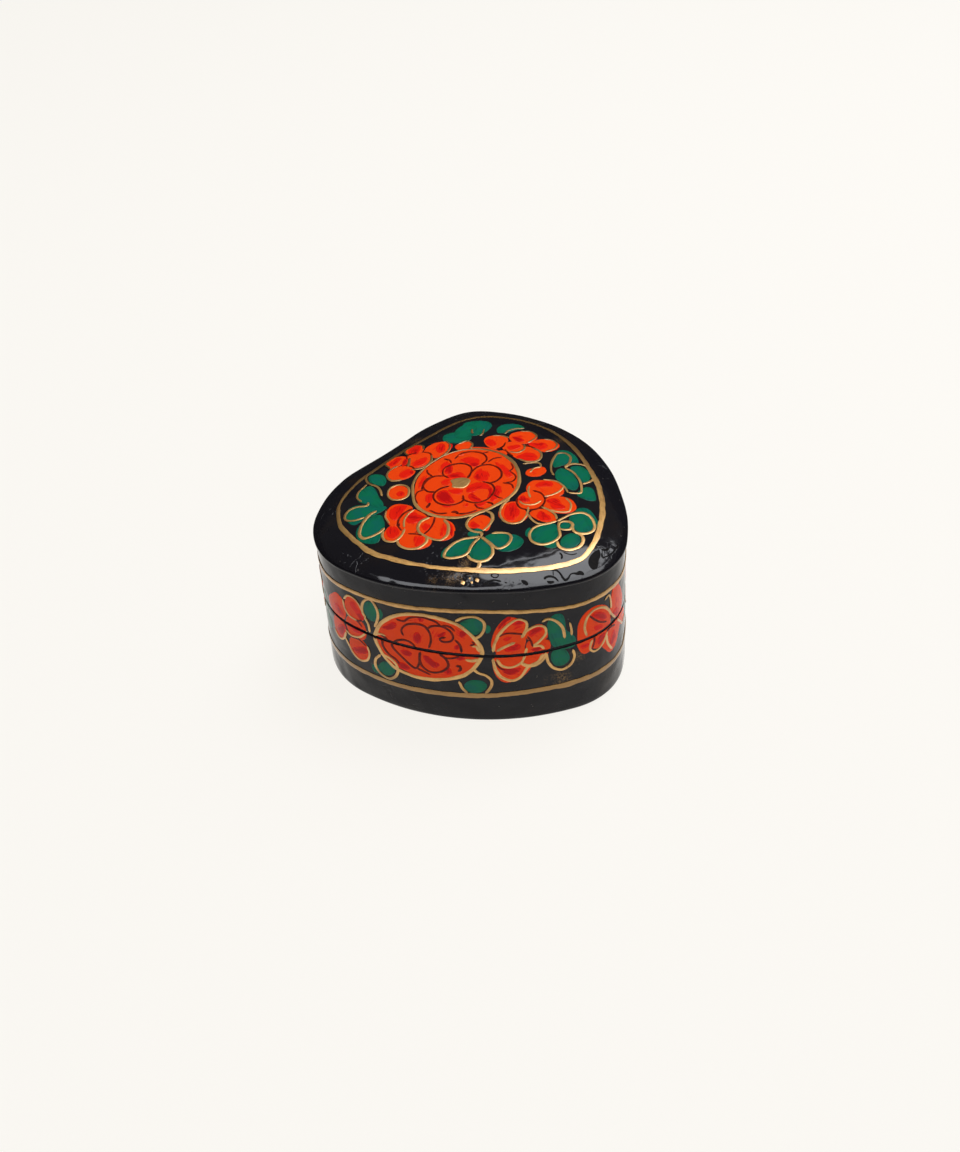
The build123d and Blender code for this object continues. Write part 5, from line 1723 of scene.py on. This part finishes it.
sideGold = [
    (0.57, [(-67, 29), (-66.6, 26.4), (-65.4, 24.8), (-63, 24.4)]),
    (0.52, [(-66.6, 29.4), (-65, 31.2), (-62.8, 31), (-61.2, 28.6), (-60.2, 26.4)]),
    (0.57, [(-67.6, 19.4), (-66, 18.6), (-63.6, 19), (-61.6, 20.6), (-60.4, 22.4)]),
    (0.62, [(-68.2, 16.6), (-67.2, 15), (-66, 12.8), (-63.8, 11.6), (-61.6, 12.6), (-60.5, 15),
        (-60.8, 17.4)]),
    (0.57, [(-72.8, 16.4), (-71, 14.8), (-69, 15.6), (-67.4, 18.6)]),
    (0.67, [(-60.8, 26.8), (-61, 29.4), (-60, 31.8), (-58.4, 32.8), (-57.2, 31.8), (-56.5, 29.2),
        (-57, 26.8), (-58, 24.6)]),
    (0.72, [(-60.6, 26.6), (-59.7, 24.6), (-59.6, 22.3)]),
    (0.98, [(-58.2, 21), (-57.6, 23.4), (-56.2, 26.2), (-53.6, 28.9), (-50.7, 30.8), (-47.2, 31.8),
        (-43, 31.9), (-39.7, 31.3), (-37, 30.3), (-35, 28.5), (-33.3, 26.3), (-32.1, 24), (-31.8, 21.5),
        (-32.8, 18.8), (-34.4, 16.5), (-36.4, 14.8), (-39.6, 13.4), (-43.2, 12.5), (-46.8, 12.2),
        (-50.4, 12.6), (-53.4, 13.5), (-55.7, 15.6), (-57.3, 18.3), (-58.2, 21)]),
    (0.62, [(-57.8, 22.6), (-56.4, 23.1), (-55, 23)]),
    (0.67, [(-34, 23.8), (-33, 23.9), (-32.4, 22.5), (-31.9, 22.7)]),
    (0.83, [(-35.7, 19.7), (-34, 19.4), (-32.6, 20)]),
    (0.72, [(-57.2, 16.4), (-58.8, 14.2), (-59.1, 11.8), (-57.6, 9.8), (-55.4, 9.3), (-53.6, 10.8),
        (-52.8, 13), (-53.4, 15.2), (-55.4, 16.4), (-57.2, 16.6)]),
    (0.67, [(-37.4, 31.2), (-35.6, 32.4), (-32.6, 32.6), (-30.8, 31), (-31.2, 28.4), (-32.3, 26.8),
        (-33.8, 26.2)]),
    (0.67, [(-34.2, 17.2), (-33, 15.8), (-31, 14.8), (-29.9, 13), (-30.4, 10.8), (-31.6, 9.2)]),
    (0.67, [(-37.6, 12.8), (-37, 10.8), (-35.8, 9)]),
    (0.72, [(-29.2, 22.2), (-28.6, 25), (-27.5, 27.5), (-25.6, 29.9), (-23.2, 31.5), (-21.3, 30.4),
        (-21.4, 28.2), (-22.5, 25.9)]),
    (0.72, [(-28.4, 22.3), (-26.6, 23.5), (-24, 24.7)]),
    (0.67, [(-22.6, 26), (-21.2, 27.9), (-18.8, 28.9), (-17, 28), (-16.9, 26.2), (-18.6, 24),
        (-19.8, 23), (-18.2, 22.8), (-17.4, 21.6)]),
    (0.93, [(-23, 18.5), (-21.4, 17.2), (-19.5, 17.2), (-17.8, 18.4), (-17, 20.4)]),
    (0.67, [(-28.4, 20), (-27.4, 17.9), (-25.2, 17.2), (-22.8, 18.4), (-21.9, 20.4), (-21.4, 22.8)]),
    (0.72, [(-29.3, 20.2), (-28.8, 16.6), (-27.5, 14.2), (-25, 13), (-23, 14), (-21.6, 16.4),
        (-20.4, 17.4), (-18.8, 18.2), (-17.8, 20.2)]),
    (0.67, [(-17.7, 29.8), (-16.4, 30.4), (-14.8, 29.6), (-13.1, 27.5), (-12.6, 25.5), (-12.4, 23.6)]),
    (0.52, [(-11.2, 28), (-10.8, 26), (-10.7, 24)]),
    (0.67, [(-17, 20.4), (-16.4, 17), (-15, 15), (-13, 14.2), (-11, 15.2), (-10.1, 17.5), (-10.5, 19.6)]),
    (0.62, [(-6.9, 22.4), (-7.5, 25), (-6.8, 28), (-5, 29.4), (-2.6, 28.9), (-0.6, 27.1), (0.8, 24.6),
        (2.6, 22.4)]),
    (0.62, [(-5.4, 20.6), (-6.1, 18.2), (-5, 16.7), (-3.3, 16.9), (-1.6, 18.6), (-0.8, 20.4)]),
    (0.62, [(-1, 19.4), (-0.7, 17), (0.5, 14.6), (1.3, 13.7)]),
    (0.62, [(-1.8, 30.4), (-0.4, 31.2), (0.4, 29), (0.6, 26.6)]),
    (0.57, [(3.4, 21.2), (5.2, 19.2), (7.2, 17.2), (9, 18.4)]),
    (1.38, [(-15, 9.1), (-11, 9.1), (-8, 9.4), (-6, 9.8)]),
]
sideBands = [
    (1.05, [32.7, 33, 32.6, 32.9, 32.8, 33.1, 33.3, 34, 34.3, 33.5, 32.5, 32.6, 32.3, 32.6, 33.1, 32.8,
        33.2, 32.7, 33, 33.2, 32.8, 33, 32.7]),
    (1.3, [8.8, 9.1, 8.7, 8.4, 8.6, 8.2, 8, 8.3, 8.5, 9, 9.2, 9.3, 9, 8.8, 8.4, 8.7, 9, 8.6, 8.3, 8.6, 9,
        8.9, 8.8]),
]
# the same run of flowers goes round the sides that follow
sideRepeats = {"along": [0, 88.4, 172.6], "rise": [0, 0.3, -0.2], "until": -78.7}


def shifted(rows, level, along, rise):
    # copies of flat motifs further along the side, measured from a level seam
    made = []
    for row in rows:
        *first, outline = row
        spots = [(x + along, y + rise - level * unevenAt(x)[2], *rest) for x, y, *rest in outline]
        if len(first) == 3 and first[1]:
            deep = first[1]
            first[1] = (deep[0] + along, deep[1] + rise - level * unevenAt(deep[0])[2])
        made.append((*first, spots))
    return made


def roundTheSide(rows):
    made = []
    for along, rise in zip(sideRepeats["along"], sideRepeats["rise"]):
        level = 1 if along == 0 else 0
        # only what still fits before the first flower comes round again
        end = 2 * halfWay + sideRepeats["until"]
        made += [
            row for row in shifted(rows, level, along, rise)
            if along < 150 or max(p[0] for p in row[-1]) < end
        ]
    return made


def layCrown(sheet, finish, slot):
    dress(wrapOnCrown(sheet), finish, "lid", slot)


def veins(name, strokes):
    return layStrokes(name, strokes, paint["veinEdge"], paint["veinCrest"])


def golds(name, strokes):
    return layStrokes(name, strokes, paint["goldEdge"], paint["goldCrest"])


leaves = leafDabs(crownLeaves) + [(None, 0.6, thinLeaf)]
leaves = layDabs("crown_leaves", lifted(leaves, paint["leafLift"]))
layCrown(leaves, "leaf", "leaf_paint")
petals = lifted(patched(crownPetals, crownPatches), paint["petalLift"])
layCrown(layDabs("crown_petals", petals), "petal", "petal_paint")
layCrown(veins("crown_outlines", crownVeins), "vein", "vein_paint")
layCrown(golds("crown_gold", crownGold), "gold", "gold_paint")
marks = layStrokes(
    "crown_varnish_runs", crownRuns, paint["runEdge"], paint["runCrest"], paint["runSpacing"]
)
layCrown(marks, "pitted", "lacquered_papier_mache")
drops = []
reachX, reachY = dropShape["reach"]
for x, y, r in goldDrops:
    path = [(x - reachX * r, y - reachY * r), (x + reachX * r, y + reachY * r)]
    drops.append((dropShape["fullness"] * r, path))
drops = layStrokes(
    "crown_gold_drops", drops, dropShape["edge"], dropShape["crest"], dropShape["spacing"]
)
layCrown(drops, "gold", "gold_paint")
goldHeart = layDabs("crown_rosette_heart", [(heartLift, heartMiddle, 0, rosetteHeart)])
layCrown(goldHeart, "gold", "gold_paint")
print("crown painted")

bands = []
for width, row in sideBands:
    gaps = len(row) - 1
    path = [(-halfWay + 2 * halfWay * i / gaps, z) for i, z in enumerate(row)]
    bands += shifted([(width, path)], 1, 0, 0)
leaves = layDabs("side_leaves", roundTheSide(lifted(leafDabs(sideLeaves), paint["leafLift"])))
decorateSide("leaves", "leaf", "leaf_paint", leaves)
petals = lifted(patched(sidePetals, sidePatches), paint["petalLift"])
decorateSide("petals", "petal", "petal_paint", layDabs("side_petals", roundTheSide(petals)))
decorateSide("outlines", "vein", "vein_paint", veins("side_outlines", roundTheSide(sideVeins)))
gold = golds("side_gold", bands + roundTheSide(sideGold))
decorateSide("gold", "sideGold", "gold_paint", gold)
print("sides painted")

# floor, light and air
studio = {
    "ground": (1.0, 0.975, 0.925),
    "groundShare": 0.88,
    "groundBehind": (0.80, 0.79, 0.77),
    "airGlow": 0.24,
    "airGlossy": 0.07,
    # each lamp's size, place, turn in degrees and power
    "boxes": {
        "topBox": ((0.50, 0.48), (0.30, -0.05, 0.74), (0, 0, -8), 4.4),
        "farBox": ((0.20, 0.035), (0.38, 0.295, 0.74), (0, 0, -12), 0.14),
        "rightBox": ((0.44, 0.24), (0.86, -0.08, 0.74), (0, 0, -10), 1.6),
        "leftStrip": ((0.345, 0.54), (-0.379, 0.043, 0.74), (0, 0, 27.8), 3.0),
        "tipStrip": ((0.45, 0.39), (-0.06, -0.305, 0.74), (0, 0, -35.4), 2.8),
        "frontStrip": ((0.50, 0.33), (0.37, -0.50, 0.74), (0, 0, -12), 2.6),
        "wallFill": ((0.9, 0.7), (-0.75, -0.72, 0.65), (57, 0, -46), 3.0),
    },
    "boxTint": (0.94, 0.96, 1.0),
    "blackHoop": {"radius": 0.098, "height": 0.075, "black": 0.01, "roughness": 0.9},
}


def raySorts(start):
    # 1 for what the camera sees, for what is mirrored and for what shows through
    return [start.node("ShaderNodeLightPath", {}, {}, output=place) for place in (0, 3, 6)]


def makeGround():
    bpy.ops.object.select_all(action="DESELECT")
    bpy.ops.mesh.primitive_plane_add(size=8)
    ground = bpy.context.object
    ground.name = "ground"
    finish = bpy.data.materials.new("paleGround")
    finish.use_nodes = True
    tree = finish.node_tree
    tree.nodes.remove(tree.nodes["Principled BSDF"])
    start = Signal(tree, None)
    plain = start.node("ShaderNodeBsdfDiffuse", {}, {"Color": (*studio["groundBehind"], 1)})
    glow = start.node("ShaderNodeEmission", {}, {"Color": (*studio["ground"], 1), "Strength": 1.0})
    seen, glossy, through = raySorts(start)
    amount = seen.maths("MINIMUM", seen + glossy + through, 1.0) * studio["groundShare"]
    mixture = start.node("ShaderNodeMixShader", {}, {0: amount, 1: plain, 2: glow})
    tree.links.new(mixture.socket, tree.nodes["Material Output"].inputs["Surface"])
    ground.data.materials.append(finish)


def makeAir():
    world = bpy.data.worlds.new("studioAir")
    bpy.context.scene.world = world
    world.use_nodes = True
    tree = world.node_tree
    shine = tree.nodes["Background"]
    seen, glossy, through = raySorts(Signal(tree, None))
    shown = seen.maths("MINIMUM", seen + through, 1.0)
    strength = shown + glossy * studio["airGlossy"] + (1.0 - shown - glossy) * studio["airGlow"]
    shine.inputs["Color"].default_value = (*studio["ground"], 1)
    tree.links.new(strength.socket, shine.inputs["Strength"])


def makeBox(name, size, spot, turn, power):
    turn = [math.radians(angle) for angle in turn]
    bpy.ops.object.light_add(type="AREA", location=spot, rotation=turn)
    lamp = bpy.context.object
    lamp.name = name
    lamp.data.shape = "RECTANGLE"
    lamp.data.size, lamp.data.size_y = size
    lamp.data.energy = power
    lamp.data.color = studio["boxTint"]
    lamp.visible_camera = False
    # the fill has no reflection of its own, and the strips are only reflections on the edge
    lamp.visible_glossy = name != "wallFill"
    lamp.visible_diffuse = "Strip" not in name


def makeHoop():
    # a black hoop round the box, which only its varnish sees, keeps the edges of the crown dark
    row = studio["blackHoop"]
    bpy.ops.mesh.primitive_cylinder_add(
        vertices=96, radius=row["radius"], depth=row["height"], end_fill_type="NOTHING",
        location=(0, 0, row["height"] / 2),
    )
    hoop = bpy.context.object
    hoop.name = "blackHoop"
    bpy.ops.object.transform_apply(location=True, rotation=True, scale=True)
    finish = bpy.data.materials.new("hoopBlack")
    finish.use_nodes = True
    shader = finish.node_tree.nodes["Principled BSDF"]
    shader.inputs["Base Color"].default_value = (row["black"], row["black"], row["black"], 1)
    shader.inputs["Roughness"].default_value = row["roughness"]
    hoop.data.materials.append(finish)
    hoop.visible_camera = False
    hoop.visible_diffuse = False
    hoop.visible_shadow = False


makeGround()
makeAir()
for name, row in studio["boxes"].items():
    makeBox(name, *row)
makeHoop()
bpy.context.scene.view_settings.view_transform = "Standard"
print("studio lit")
